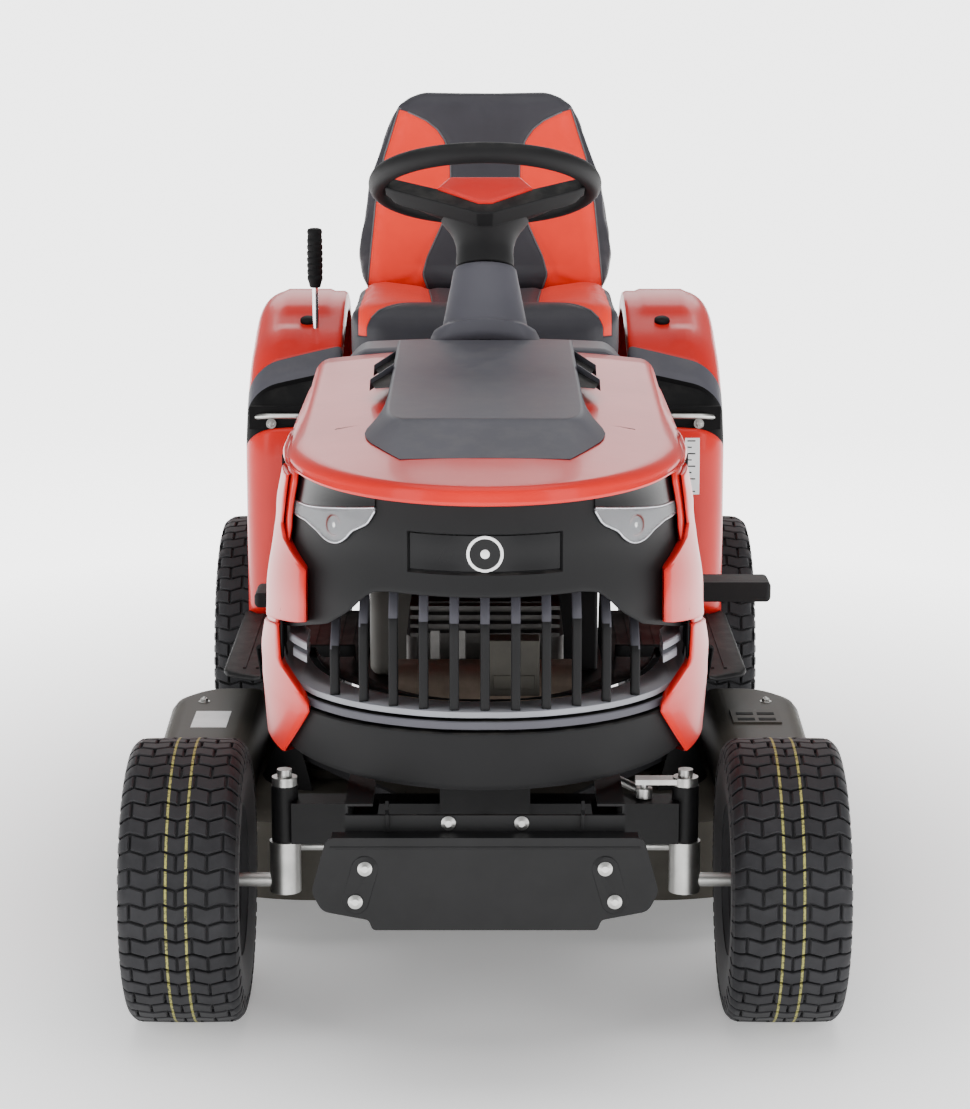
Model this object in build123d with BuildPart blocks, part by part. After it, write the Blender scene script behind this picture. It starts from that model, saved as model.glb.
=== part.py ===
from build123d import *
from math import atan2, cos, degrees, hypot, pi, radians, sin, tan
import os

# Riding lawn mower. Millimetres, +Z up, nose towards -Y, the tractor's left side towards +X.
# The origin lies on the ground below the middle of the whole machine.

# wheels: radius, width, middle of the tread sideways, axle position along the machine
front_tyre_radius, front_tyre_width, front_track_half, front_axle_y = 190.5, 157, 397, -570
rear_tyre_radius, rear_tyre_width, rear_track_half, rear_axle_y = 228.5, 216, 349, 660
front_rim_radius, rear_rim_radius = 76, 102
bead_gap = 0.3

# frame
rail_outer, rail_bottom, rail_top, rail_wall = 172, 325, 385, 3
rail_front, rail_rear = -880, 762
plate_thickness = 4
plate_top = rail_top + plate_thickness

# front axle and steering
beam_half_depth, beam_bottom, beam_top = 25, 247, 303
pivot_z = 275
kingpin_x, kingpin_radius, boss_radius = 268, 10, 18
boss_bottom, boss_top = 246, 322
arm_length, drag_z, tie_arm, tie_z = 55, 312, 70, 217
running_gap = 0.05
gear_module, pinion_teeth, sector_teeth = 2.5, 14, 84
pinion_y = -100
sector_x = arm_length
sector_bottom, sector_thickness = 296, 6
wheel_centre = Vector(0, 130, 1070)
column_tilt = 21
grip_ring_radius, grip_radius = 162, 16.5

# engine and drives
crank_y, drive_belt_z, deck_belt_z = -430, 262, 227
belt_width, belt_depth = 12, 8

# hood
hood_rear, hood_nose, hood_nose_length = -20, -900, 380
hood_rear_top, hood_nose_top, hood_wall = 838, 780, 4
hood_half_bottom, hood_half_top = 292, 253
lip_bottom, mask_bottom = 757, 402
mask_inset, mask_wall = 7, 5
hinge_y, hinge_z, hinge_radius = -898, 385, 5

# cutting deck
deck_y, spindle_x, deck_radius = -20, 240, 270
deck_bottom, deck_top, deck_wall = 70, 185, 3
blade_z, blade_half, blade_width = 96, 246, 52
deck_pulley_radius, deck_half_width = 55, 515

# rear body and seat
fender_inner, fender_outer, fender_wall = 238, 395, 4
arch_radius, platform_top = 262, 700
chute_half, chute_wall = 100, 3
seat_half, seat_bottom, seat_top, seat_front, seat_rear = 225, 770, 858, 330, 742
back_tilt, back_thickness = 12, 80
seat_hinge_y, seat_hinge_z, seat_pin_radius = 350, 745, 6


def block(x, y, z, mode=Mode.ADD):
    # a box between two values on each axis
    with Locations(((x[0] + x[1]) / 2, (y[0] + y[1]) / 2, (z[0] + z[1]) / 2)):
        Box(x[1] - x[0], y[1] - y[0], z[1] - z[0], mode=mode)


def prism(outline, plane, depth, mode=Mode.ADD, both=False, rounding=0):
    # a closed outline in a plane, pushed along the plane's normal
    with BuildSketch(plane) as face:
        with BuildLine():
            if rounding:
                FilletPolyline(*outline, radius=rounding, close=True)
            else:
                Polyline(*outline, close=True)
        make_face()
    extrude(face.sketch, amount=depth, both=both, mode=mode)


def rod(start, end, radius, mode=Mode.ADD):
    # a round bar between two points
    line = Vector(*end) - Vector(*start)
    with BuildSketch(Plane(origin=start, z_dir=line)) as disc:
        Circle(radius)
    extrude(disc.sketch, amount=line.length, mode=mode)


def turned(outline, centre, along=(1, 0, 0), mode=Mode.ADD):
    # outline points are (distance along the axis, radius)
    away = (0, 0, 1) if along != (0, 0, 1) else (1, 0, 0)
    line = Vector(*along)
    with BuildSketch(Plane(origin=centre, x_dir=line, z_dir=line.cross(Vector(*away)))) as face:
        with BuildLine():
            Polyline(*outline, close=True)
        make_face()
    revolve(face.sketch, axis=Axis(centre, along), mode=mode)


def finish(builder, name, colour):
    builder.part.label = name
    builder.part.color = Color(colour)
    export_step(builder.part, f"parts/{name}.step")


os.makedirs("parts", exist_ok=True)

# ---------------------------------------------------------------- frame
rail_flange, arch_bottom = 34, 350
pedal_pivot_z, pedal_pivot_radius = 355, 8
brake_pivot_y, drive_pivot_y = 70, 20

with BuildPart() as frame_rails:
    for side in (-1, 1):
        outer, inner = side * rail_outer, side * (rail_outer - rail_flange)
        block(sorted((outer, inner)), (rail_front, rail_rear), (rail_bottom, rail_top))
        channel = sorted((side * (rail_outer - rail_wall), side * (rail_outer - rail_flange - 1)))
        block(channel, (rail_front - 1, rail_rear + 1),
              (rail_bottom + rail_wall, rail_top - rail_wall), mode=Mode.SUBTRACT)
        # arch over the front axle, so that the axle and the drag link can rise
        block(sorted((outer + side, inner - side)), (front_axle_y - 90, front_axle_y + 220),
              (rail_bottom - 1, arch_bottom), mode=Mode.SUBTRACT)
        pivot_y = brake_pivot_y if side > 0 else drive_pivot_y
        rod((outer - side * 8, pivot_y, pedal_pivot_z), (outer + side * 8, pivot_y, pedal_pivot_z),
            pedal_pivot_radius + running_gap, mode=Mode.SUBTRACT)
finish(frame_rails, "frame_rails", "gray20")

ear_x, ear_thickness, ear_radius = 120, 4, 9
with BuildPart() as front_crossmember:
    block((-rail_outer, rail_outer), (rail_front - 6, rail_front - 0.2), (rail_bottom, 372))
    for side in (-1, 1):
        ear = [(rail_front - 0.2, 356), (rail_front - 0.2, 382), (hinge_y, hinge_z + ear_radius),
               (hinge_y - ear_radius, hinge_z), (hinge_y, hinge_z - ear_radius), (hinge_y + 4, 356)]
        prism(ear, Plane.YZ.offset(side * ear_x - ear_thickness / 2), ear_thickness)
        rod((side * ear_x - 5, hinge_y, hinge_z), (side * ear_x + 5, hinge_y, hinge_z),
            hinge_radius + running_gap, mode=Mode.SUBTRACT)
finish(front_crossmember, "front_crossmember", "gray20")

with BuildPart() as chassis_plate:
    block((-rail_outer, rail_outer), (-640, -18), (rail_top, plate_top))
    rod((0, crank_y, rail_top - 1), (0, crank_y, plate_top + 1), 24, mode=Mode.SUBTRACT)
    # bearing of the pinion shaft
    rod((0, pinion_y, rail_top - 20), (0, pinion_y, plate_top + 6), 20)
    rod((0, pinion_y, rail_top - 21), (0, pinion_y, plate_top + 7), 10 + running_gap, mode=Mode.SUBTRACT)
finish(chassis_plate, "chassis_plate", "gray25")

sector_y = pinion_y - ((gear_module * (sector_teeth - pinion_teeth) / 2) ** 2 - sector_x ** 2) ** 0.5
bracket_gap = 2
with BuildPart() as axle_bracket:
    reach = beam_half_depth + bracket_gap
    for face_y in (front_axle_y - reach - 6, front_axle_y + reach):
        block((-60, 60), (face_y, face_y + 6), (240, rail_top - 0.2))
        for side in (-1, 1):
            block(sorted((side * 60, side * (rail_outer - rail_wall - 0.2))), (face_y, face_y + 6),
                  (arch_bottom + 4, rail_top - rail_wall - 0.2))
    rod((0, front_axle_y - 45, pivot_z), (0, front_axle_y + 45, pivot_z), 12)
    block((-60, 60), (front_axle_y - 33, front_axle_y + 33), (rail_top - 8, rail_top - 0.2))
finish(axle_bracket, "axle_bracket", "gray20")

bumper_face, bumper_sheet = -915, 5
with BuildPart() as front_bumper:
    bumper_outline = [(-194, 352), (194, 352), (213, 283), (200, 258), (143, 247), (138, 234),
                      (-138, 234), (-143, 247), (-200, 258), (-213, 283)]
    prism(bumper_outline, Plane.XZ.offset(-bumper_face), -bumper_sheet)
    block((-188, 188), (bumper_face, rail_front - 8), (347, 352))
    for side in (-1, 1):
        block(sorted((side * 160, side * 167)), (bumper_face + 2, rail_front - 6.2), (300, 350))
finish(front_bumper, "front_bumper", "gray15")

dome_radius, dome_height = 9, 4.8
bumper_bolts = [(side * x, z) for side in (-1, 1) for x, z in ((147, 313), (159, 271))]
crossmember_bolts = [(-45, 362.5), (45, 362.5)]
with BuildPart() as frame_bolts:
    for spots, face_y in ((bumper_bolts, bumper_face), (crossmember_bolts, rail_front - 6)):
        for x, z in spots:
            turned([(0, 0), (-0.2, dome_radius), (-2, dome_radius), (-dome_height, 4), (-dome_height, 0)],
                   (x, face_y - 0.2, z), along=(0, 1, 0))
    for side in (-1, 1):
        for z in (275, 345):
            rod((side * 80, rail_rear + 6.4, z), (side * 80, rail_rear + 12, z), 8)
finish(frame_bolts, "frame_bolts", "gray80")

hitch_hole_radius, hitch_hole_y, hitch_sheet = 9.5, 812, 6
with BuildPart() as hitch_plate:
    block((-rail_outer, rail_outer), (rail_rear + 0.2, rail_rear + 6.2), (255, rail_top))
    block((-45, 45), (rail_rear + 0.2, hitch_hole_y + 24), (285, 285 + hitch_sheet))
    rod((0, hitch_hole_y, 280), (0, hitch_hole_y, 295), hitch_hole_radius, mode=Mode.SUBTRACT)
finish(hitch_plate, "hitch_plate", "gray20")

# ---------------------------------------------------------------- engine, fuel and electrics
with BuildPart() as engine_block:
    block((-105, 105), (crank_y - 120, crank_y + 120), (plate_top + 0.2, 520))
    fillet(engine_block.edges().filter_by(Axis.Z), 20)
    for z in (532, 544, 556, 568):
        block((-98, 98), (crank_y - 170, crank_y + 90), (z, z + 5))
    block((-80, 80), (crank_y - 150, crank_y + 70), (519, 575))
finish(engine_block, "engine_block", "gray55")

with BuildPart() as engine_shroud:
    shroud = [(576, 0), (576, 138), (640, 138), (676, 104), (690, 60), (690, 0)]
    turned(shroud, (0, crank_y, 0), along=(0, 0, 1))
    turned([(570, 0), (570, 130), (636, 130), (668, 98), (682, 56), (682, 0)], (0, crank_y, 0),
           along=(0, 0, 1), mode=Mode.SUBTRACT)
    with BuildSketch(Plane.XY.offset(670)) as slots:
        with Locations((0, crank_y)):
            with PolarLocations(40, 12):
                SlotOverall(26, 8)
    extrude(slots.sketch, amount=40, mode=Mode.SUBTRACT)
finish(engine_shroud, "engine_shroud", "gray20")

with BuildPart() as muffler:
    with BuildSketch(Plane.YZ.offset(-115)) as can:
        with Locations((-650, 455)):
            RectangleRounded(86, 110, 30)
    extrude(can.sketch, amount=230)
    rod((60, -650, 470), (60, -588, 470), 14)
    rod((-70, -650, 402), (-70, -760, 402), 12)
finish(muffler, "muffler", "gray60")

with BuildPart() as battery:
    block((66, 164), (-190, -40), (plate_top + 0.2, 540))
    fillet(battery.edges().filter_by(Axis.Z), 5)
    for y in (-170, -62):
        rod((115, y, 539), (115, y, 552), 8)
finish(battery, "battery", "gray15")

with BuildPart() as fuel_tank:
    block((-166, -52), (-236, -40), (plate_top + 0.2, 590))
    fillet(fuel_tank.edges(), 16)
    rod((-110, -140, 588), (-110, -140, 615), 30)
finish(fuel_tank, "fuel_tank", "gray85")


def pulley(centre_x, centre_y, z, radius):
    # a wheel with a groove for a belt at height z
    half, groove, floor = belt_width / 2 + 3, belt_width / 2 + 0.4, radius - belt_depth
    turned([(z - half, 0), (z - half, radius + 3), (z - groove, radius + 3), (z - groove, floor),
            (z + groove, floor), (z + groove, radius + 3), (z + half, radius + 3), (z + half, 0)],
           (centre_x, centre_y, 0), along=(0, 0, 1))


with BuildPart() as crank_pulley:
    pulley(0, crank_y, drive_belt_z, 35)
    pulley(0, crank_y, deck_belt_z, 45)
    rod((0, crank_y, deck_belt_z - 14), (0, crank_y, plate_top - 0.5), 12.5)
finish(crank_pulley, "crank_pulley", "gray60")


def belt(name, wheels, z):
    # wheels are (x, y, radius, side): side is 1 where the belt runs round the outside of the wheel
    outlines = []
    for grow in (0.4, 0.4 - belt_depth):
        points = []
        for index, (x, y, radius, turn) in enumerate(wheels):
            after = wheels[(index + 1) % len(wheels)]
            first = turn * (radius + turn * grow)
            second = after[3] * (after[2] + after[3] * grow)
            reach = hypot(after[0] - x, after[1] - y)
            along = ((after[0] - x) / reach, (after[1] - y) / reach)
            lean = (first - second) / reach
            level = (1 - lean ** 2) ** 0.5
            normal = (along[0] * lean + along[1] * level, along[1] * lean - along[0] * level)
            points.append(((x + normal[0] * first, y + normal[1] * first),
                           (after[0] + normal[0] * second, after[1] + normal[1] * second)))
        outlines.append(points)
    with BuildPart() as loop:
        for outline, mode in ((outlines[0], Mode.ADD), (outlines[1], Mode.SUBTRACT)):
            with BuildSketch(Plane.XY.offset(z - belt_width / 2)) as face:
                with BuildLine():
                    for index, (start, end) in enumerate(outline):
                        Line(start, end)
                        x, y, radius, turn = wheels[(index + 1) % len(wheels)]
                        leave = outline[(index + 1) % len(outline)][0]
                        arrive = atan2(end[1] - y, end[0] - x)
                        sweep = turn * ((turn * (atan2(leave[1] - y, leave[0] - x) - arrive)) % (2 * pi))
                        bow, middle = hypot(end[0] - x, end[1] - y), arrive + sweep / 2
                        ThreePointArc(end, (x + bow * cos(middle), y + bow * sin(middle)), leave)
                make_face()
            extrude(face.sketch, amount=belt_width, mode=mode)
    finish(loop, name, "gray10")


transaxle_pulley_x, transaxle_pulley_y, transaxle_pulley_radius = 160, 505, 40
idler_x, idler_y, idler_radius = 82, 165, 24
belt("drive_belt", [(0, crank_y, 35, 1), (transaxle_pulley_x, transaxle_pulley_y, transaxle_pulley_radius, 1),
                    (idler_x, idler_y, idler_radius, -1)], drive_belt_z)
belt("pto_belt", [(0, crank_y, 45, 1), (spindle_x, deck_y, deck_pulley_radius, 1),
                  (-spindle_x, deck_y, deck_pulley_radius, 1)], deck_belt_z)

with BuildPart() as transaxle:
    block((-140, 140), (575, 745), (150, 315))
    fillet(transaxle.edges().filter_by(Axis.X), 24)
    rod((-238, rear_axle_y, rear_tyre_radius), (238, rear_axle_y, rear_tyre_radius), 32)
    rod((-415, rear_axle_y, rear_tyre_radius), (415, rear_axle_y, rear_tyre_radius), 12.7)
    block((124, 170), (transaxle_pulley_y - 30, 610), (276, 310))
    pulley(transaxle_pulley_x, transaxle_pulley_y, drive_belt_z, transaxle_pulley_radius)
    rod((transaxle_pulley_x, transaxle_pulley_y, drive_belt_z),
        (transaxle_pulley_x, transaxle_pulley_y, 280), 10)
    for side in (-1, 1):
        shelf = sorted((side * 110, side * (rail_outer - rail_wall - 0.4)))
        block(shelf, (620, 700), (300, rail_bottom - 0.2))
finish(transaxle, "transaxle", "gray50")

# ---------------------------------------------------------------- front axle and steering
with BuildPart() as axle_beam:
    block((-258, 258), (front_axle_y - beam_half_depth, front_axle_y + beam_half_depth),
          (beam_bottom, beam_top))
    for side in (-1, 1):
        rod((side * kingpin_x, front_axle_y, boss_bottom),
            (side * kingpin_x, front_axle_y, boss_top), boss_radius)
        rod((side * kingpin_x, front_axle_y, boss_bottom - 1), (side * kingpin_x, front_axle_y, boss_top + 1),
            kingpin_radius, mode=Mode.SUBTRACT)
    rod((0, front_axle_y - 26, pivot_z), (0, front_axle_y + 26, pivot_z),
        12 + running_gap, mode=Mode.SUBTRACT)
finish(axle_beam, "axle_beam", "gray15")


def knuckle(side):
    # kingpin, stub axle and steering arms of one front wheel
    x = side * kingpin_x
    with BuildPart() as part:
        rod((x, front_axle_y, 175), (x, front_axle_y, boss_bottom - 0.4), 21)
        rod((x, front_axle_y, 200), (x, front_axle_y, boss_top + 22), kingpin_radius - running_gap)
        rod((x, front_axle_y, front_tyre_radius), (side * 462, front_axle_y, front_tyre_radius), 9.5)
        block(sorted((x - 12, x + 12)), (front_axle_y, front_axle_y + tie_arm + 12), (225, 235))
        rod((x, front_axle_y + tie_arm, tie_z - 8), (x, front_axle_y + tie_arm, 226), 5)
        rod((x, front_axle_y, boss_top + 0.4), (x, front_axle_y, boss_top + 12), 17)
        if side > 0:
            block((x - arm_length - 12, x), (front_axle_y - 12, front_axle_y + 12),
                  (boss_top + 3, boss_top + 10))
            rod((x - arm_length, front_axle_y, drag_z - 8), (x - arm_length, front_axle_y, boss_top + 5), 5)
    return part


finish(knuckle(1), "knuckle_left", "gray60")
finish(knuckle(-1), "knuckle_right", "gray60")


link_radius, eye_radius, pin_radius = 6, 11, 5


def link(name, start, end, z, colour, slack=0):
    # a round bar with an eye at each end; slack widens the second eye for an axle that tilts
    with BuildPart() as part:
        direction = (Vector(*end) - Vector(*start)).normalized() * (eye_radius + slack - 1)
        rod((start[0] + direction.X, start[1] + direction.Y, z),
            (end[0] - direction.X, end[1] - direction.Y, z), link_radius)
        for (x, y), grow in ((start, 0), (end, slack)):
            rod((x, y, z - 7), (x, y, z + 6), eye_radius + grow)
        for (x, y), grow in ((start, 0), (end, slack)):
            rod((x, y, z - 9), (x, y, z + 9), pin_radius + running_gap + grow, mode=Mode.SUBTRACT)
    finish(part, name, colour)


tie_y = front_axle_y + tie_arm
link("tie_rod", (-kingpin_x, tie_y), (kingpin_x, tie_y), tie_z - 1, "gray60")
drag_rear = (sector_x - arm_length, sector_y)
link("drag_link", (kingpin_x - arm_length, front_axle_y), drag_rear, drag_z, "gray60", slack=3.4)

# toothed sector: the pinion runs in its slot, against teeth that face the pivot
tooth_high, tooth_low = 0.65 * gear_module, 1.15 * gear_module
sector_radius = gear_module * sector_teeth / 2
pinion_radius = gear_module * pinion_teeth / 2
slot_angle = degrees(atan2(pinion_y - sector_y, -sector_x))
slot_half, slot_inner = 49, sector_radius - 2 * pinion_radius - 6
sector_pivot_radius = 8


with BuildPart() as sector_gear:
    with BuildSketch(Plane(origin=(sector_x, sector_y, sector_bottom))) as sector_face:
        with BuildLine():
            CenterArc((0, 0), sector_radius + 18, slot_angle - 57, 114)
            sector_ends = [Vector(1, 0).rotate(Axis.Z, slot_angle + turn) * (sector_radius + 18)
                           for turn in (57, -57)]
            Polyline(sector_ends[0], (-arm_length - 16, -12), (0, -22), (22, 0), sector_ends[1])
        make_face()
    extrude(sector_face.sketch, amount=sector_thickness)
    with BuildSketch(Plane(origin=(sector_x, sector_y, sector_bottom - 1))) as sector_slot:
        with BuildLine():
            for radius in (slot_inner, sector_radius + tooth_low):
                CenterArc((0, 0), radius, slot_angle - slot_half, 2 * slot_half)
            for turn in (-slot_half, slot_half):
                spoke = Vector(1, 0).rotate(Axis.Z, slot_angle + turn)
                Line(spoke * slot_inner, spoke * (sector_radius + tooth_low))
        make_face()
    extrude(sector_slot.sketch, amount=sector_thickness + 2, mode=Mode.SUBTRACT)
    pitch_angle = 360 / sector_teeth
    with BuildSketch(Plane(origin=(sector_x, sector_y, sector_bottom))) as sector_tooth:
        for index in range(-9, 11):
            turn = slot_angle + (index - 0.5) * pitch_angle
            with Locations(Location((0, 0, 0), (0, 0, turn))):
                Polygon((sector_radius + tooth_low + 1, -1.9), (sector_radius - tooth_high, -0.7),
                        (sector_radius - tooth_high, 0.7), (sector_radius + tooth_low + 1, 1.9), align=None)
    extrude(sector_tooth.sketch, amount=sector_thickness)
    rod((sector_x, sector_y, sector_bottom), (sector_x, sector_y, sector_bottom + 20), 15)
    rod((sector_x, sector_y, sector_bottom - 1), (sector_x, sector_y, sector_bottom + 21),
        sector_pivot_radius + running_gap, mode=Mode.SUBTRACT)
    rod((*drag_rear, sector_bottom + 1), (*drag_rear, drag_z + 8), 5)
finish(sector_gear, "sector_gear", "gray55")

shaft_bottom, ball_radius = 280, 20
lean = radians(column_tilt)
column = Vector(0, sin(lean), cos(lean))
ball_z = wheel_centre.Z - (wheel_centre.Y - pinion_y) / tan(lean)
with BuildPart() as pinion_shaft:
    with BuildSketch(Plane(origin=(0, pinion_y, sector_bottom - 2))) as pinion_face:
        Circle(pinion_radius - tooth_low)
        for index in range(pinion_teeth):
            with Locations(Location((0, 0, 0), (0, 0, index * 360 / pinion_teeth))):
                Polygon((pinion_radius - tooth_low - 1, -2.0), (pinion_radius + tooth_high, -0.7),
                        (pinion_radius + tooth_high, 0.7), (pinion_radius - tooth_low - 1, 2.0), align=None)
    turned_to_mesh = pinion_face.sketch.rotate(Axis((0, pinion_y, 0), (0, 0, 1)), slot_angle)
    extrude(turned_to_mesh, amount=sector_thickness + 4)
    rod((0, pinion_y, shaft_bottom), (0, pinion_y, ball_z - 8), 10)
    with Locations((0, pinion_y, ball_z)):
        Sphere(ball_radius)
finish(pinion_shaft, "pinion_shaft", "gray55")


def on_column(height):
    # a point on the steering column's axis, measured up from the middle of the wheel
    return tuple(wheel_centre + column * height)


def column_turned(outline, mode=Mode.ADD):
    turned(outline, tuple(wheel_centre), along=tuple(column), mode=mode)


ball_height = (ball_z - wheel_centre.Z) / cos(lean)
cup_radius, column_radius = ball_radius + 0.3, 9
with BuildPart() as steering_shaft:
    rod(on_column(ball_height + 24), on_column(-40), column_radius)
    rod(on_column(ball_height + 4), on_column(ball_height + 36), 25)
    with Locations((0, pinion_y, ball_z)):
        Sphere(cup_radius, mode=Mode.SUBTRACT)
finish(steering_shaft, "steering_shaft", "gray55")

neck_radius, neck_height, flare_radius = 43, -129, 73
with BuildPart() as steering_wheel:
    across_wheel = Plane(origin=tuple(wheel_centre), x_dir=(1, 0, 0), z_dir=(0, -cos(lean), sin(lean)))
    with BuildSketch(across_wheel) as grip:
        with Locations((grip_ring_radius, 0)):
            Circle(grip_radius)
    revolve(grip.sketch, axis=Axis(tuple(wheel_centre), tuple(column)))
    column_turned([(neck_height, column_radius), (neck_height, neck_radius), (-92, neck_radius + 2),
                   (-42, flare_radius), (-22, flare_radius), (-22, column_radius)])
    spoke_outline = [(-grip_ring_radius, -4), (-150, -14), (-70, -36), (-40, -36), (-40, -22),
                     (40, -22), (40, -36), (70, -36), (150, -14), (grip_ring_radius, -4),
                     (grip_ring_radius, 4), (150, 2), (66, -16), (-66, -16), (-150, 2), (-grip_ring_radius, 4)]
    side_plane = Plane(origin=tuple(wheel_centre), x_dir=(1, 0, 0), z_dir=(0, -cos(lean), sin(lean)))
    prism(spoke_outline, side_plane, 22, both=True)
    rod(on_column(-45), on_column(-15), column_radius, mode=Mode.SUBTRACT)
    rod(on_column(neck_height - 1), on_column(-40), column_radius, mode=Mode.SUBTRACT)
finish(steering_wheel, "steering_wheel", "gray20")

cap_outline = [(-56, -30), (56, -30), (74, 4), (26, 44), (-26, 44), (-74, 4)]
with BuildPart() as steering_hub_cap:
    prism(cap_outline, Plane(origin=on_column(-13), x_dir=(1, 0, 0), z_dir=column), 22)
    cap_faces = steering_hub_cap.faces().sort_by(lambda face: (face.center() - wheel_centre).dot(column))
    chamfer(cap_faces[-1].edges(), 6)
finish(steering_hub_cap, "steering_hub_cap", "red")

# ---------------------------------------------------------------- dashboard
dash_half, dash_foot_half, dash_front, dash_rear, dash_wall = 205, 165, -14, 112, 4
dash_bottom, dash_waist, dash_top = 400, 540, 842
panel_hole_z = 770
with BuildPart() as dash_tower:
    for gap, mode in ((0, Mode.ADD), (dash_wall, Mode.SUBTRACT)):
        for half, low, high in ((dash_foot_half, dash_bottom - gap, dash_waist + gap),
                                (dash_half, dash_waist + gap, dash_top - gap)):
            with BuildSketch(Plane.XY.offset(low)) as footprint:
                with Locations((0, (dash_front + dash_rear) / 2)):
                    RectangleRounded(2 * (half - gap), dash_rear - dash_front - 2 * gap, 22 - gap)
            extrude(footprint.sketch, amount=high - low, mode=mode)
    # way through the front wall for the steering shaft
    block((-24, 24), (dash_front - 1, dash_front + dash_wall + 1), (640, 760), mode=Mode.SUBTRACT)
    cone = [(-262, 0), (-262, 82), (-235, 76), (-132, 47), (-132, 0)]
    column_turned(cone)
    column_turned([(-270, 0), (-270, 72), (-235, 66), (-138, 41), (-138, 0)], mode=Mode.SUBTRACT)
    rod(on_column(-140), on_column(-130), column_radius + 4, mode=Mode.SUBTRACT)
    block((-120, 120), (dash_front - 60, dash_front), (dash_top - 30, dash_top + 60), mode=Mode.SUBTRACT)
    for x, radius in ((-80, 3), (80, 6)):
        rod((x, dash_rear - 10, panel_hole_z), (x, dash_rear + 2, panel_hole_z),
            radius + running_gap, mode=Mode.SUBTRACT)
finish(dash_tower, "dash_tower", "gray40")

with BuildPart() as ignition_key:
    rod((-80, dash_rear - 12, panel_hole_z), (-80, dash_rear + 10, panel_hole_z), 3)
    block((-92, -68), (dash_rear + 9, dash_rear + 28), (panel_hole_z - 2, panel_hole_z + 2))
finish(ignition_key, "ignition_key", "gray10")

with BuildPart() as throttle_lever:
    rod((80, dash_rear - 12, panel_hole_z), (80, dash_rear + 12, panel_hole_z), 6)
    block((75, 85), (dash_rear + 4, dash_rear + 12), (panel_hole_z, panel_hole_z + 42))
    rod((80, dash_rear + 6, panel_hole_z + 44), (80, dash_rear + 26, panel_hole_z + 44), 11)
finish(throttle_lever, "throttle_lever", "gray10")

# ---------------------------------------------------------------- hood
# the nose is half an ellipse seen from above; the sides lean out towards the bottom


def hood_form(inset, low, high, front):
    # closed form of the hood, drawn in by inset, between two heights
    with BuildPart() as form:
        side = [(hood_rear, low), (hood_rear, hood_rear_top - inset), (-735, 792 - inset),
                (front + 40, hood_nose_top - inset), (front + 8 + inset, 770 - inset), (front, 745), (front, low)]
        prism([(y, min(z, high)) for y, z in side], Plane.YZ.offset(-320), 640)
        cross = [(hood_half_bottom - inset, 380), (hood_half_bottom - inset, 520), (hood_half_top + 8 - inset, 770),
                 (hood_half_top - 12 - inset, 800), (hood_half_top - 60 - inset, 845), (hood_half_top - 60 - inset, 900)]
        prism(cross + [(-x, z) for x, z in reversed(cross)], Plane.XZ.offset(-200), 1400, mode=Mode.INTERSECT)
        with BuildSketch(Plane.XY.offset(300)) as plan:
            with BuildLine():
                centre_y = front + hood_nose_length
                wide = hood_half_bottom - inset
                EllipticalCenterArc((0, centre_y), wide, hood_nose_length, start_angle=180, arc_size=180)
                Polyline((-wide, centre_y), (-wide, 100), (wide, 100), (wide, centre_y))
            make_face()
        extrude(plan.sketch, amount=700, mode=Mode.INTERSECT)
    return form.part


cheek_x, cheek_bottom = 222, 412
side_sweep = [(hood_rear + 1, 380), (hood_rear + 1, 500), (-640, 452), (-760, cheek_bottom), (-930, cheek_bottom),
              (-930, 380)]
with BuildPart() as hood_shell:
    add(hood_form(0, 390, 900, hood_nose))
    add(hood_form(hood_wall, 380, 900, hood_nose + hood_wall), mode=Mode.SUBTRACT)
    block((-cheek_x, cheek_x), (-960, -640), (380, lip_bottom), mode=Mode.SUBTRACT)
    prism(side_sweep, Plane.YZ.offset(-320), 640, mode=Mode.SUBTRACT)
    block((-hood_half_bottom, hood_half_bottom), (hood_rear - 3, hood_rear + 1), (380, 790),
          mode=Mode.SUBTRACT)
    # air slots under the scoop's sides
    for side in (-1, 1):
        for y in (-330, -180):
            prism([(side * 128, y - 60), (side * 158, y - 40), (side * 158, y + 60), (side * 128, y + 40)],
                  Plane.XY.offset(780), 100, mode=Mode.SUBTRACT)
finish(hood_shell, "hood_shell", "red")

scoop_side = [(hood_rear, hood_rear_top + 0.3), (hood_rear, 851), (-620, 822), (-735, 795), (-735, 792.3)]
scoop_plan = [(-131, hood_rear), (131, hood_rear), (157, -560), (150, -620), (107, -735),
              (-107, -735), (-150, -620), (-157, -560)]
with BuildPart() as hood_scoop:
    prism(scoop_side, Plane.YZ.offset(-200), 400)
    prism(scoop_plan, Plane.XY.offset(700), 300, mode=Mode.INTERSECT)
finish(hood_scoop, "hood_scoop", "gray50")

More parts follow.
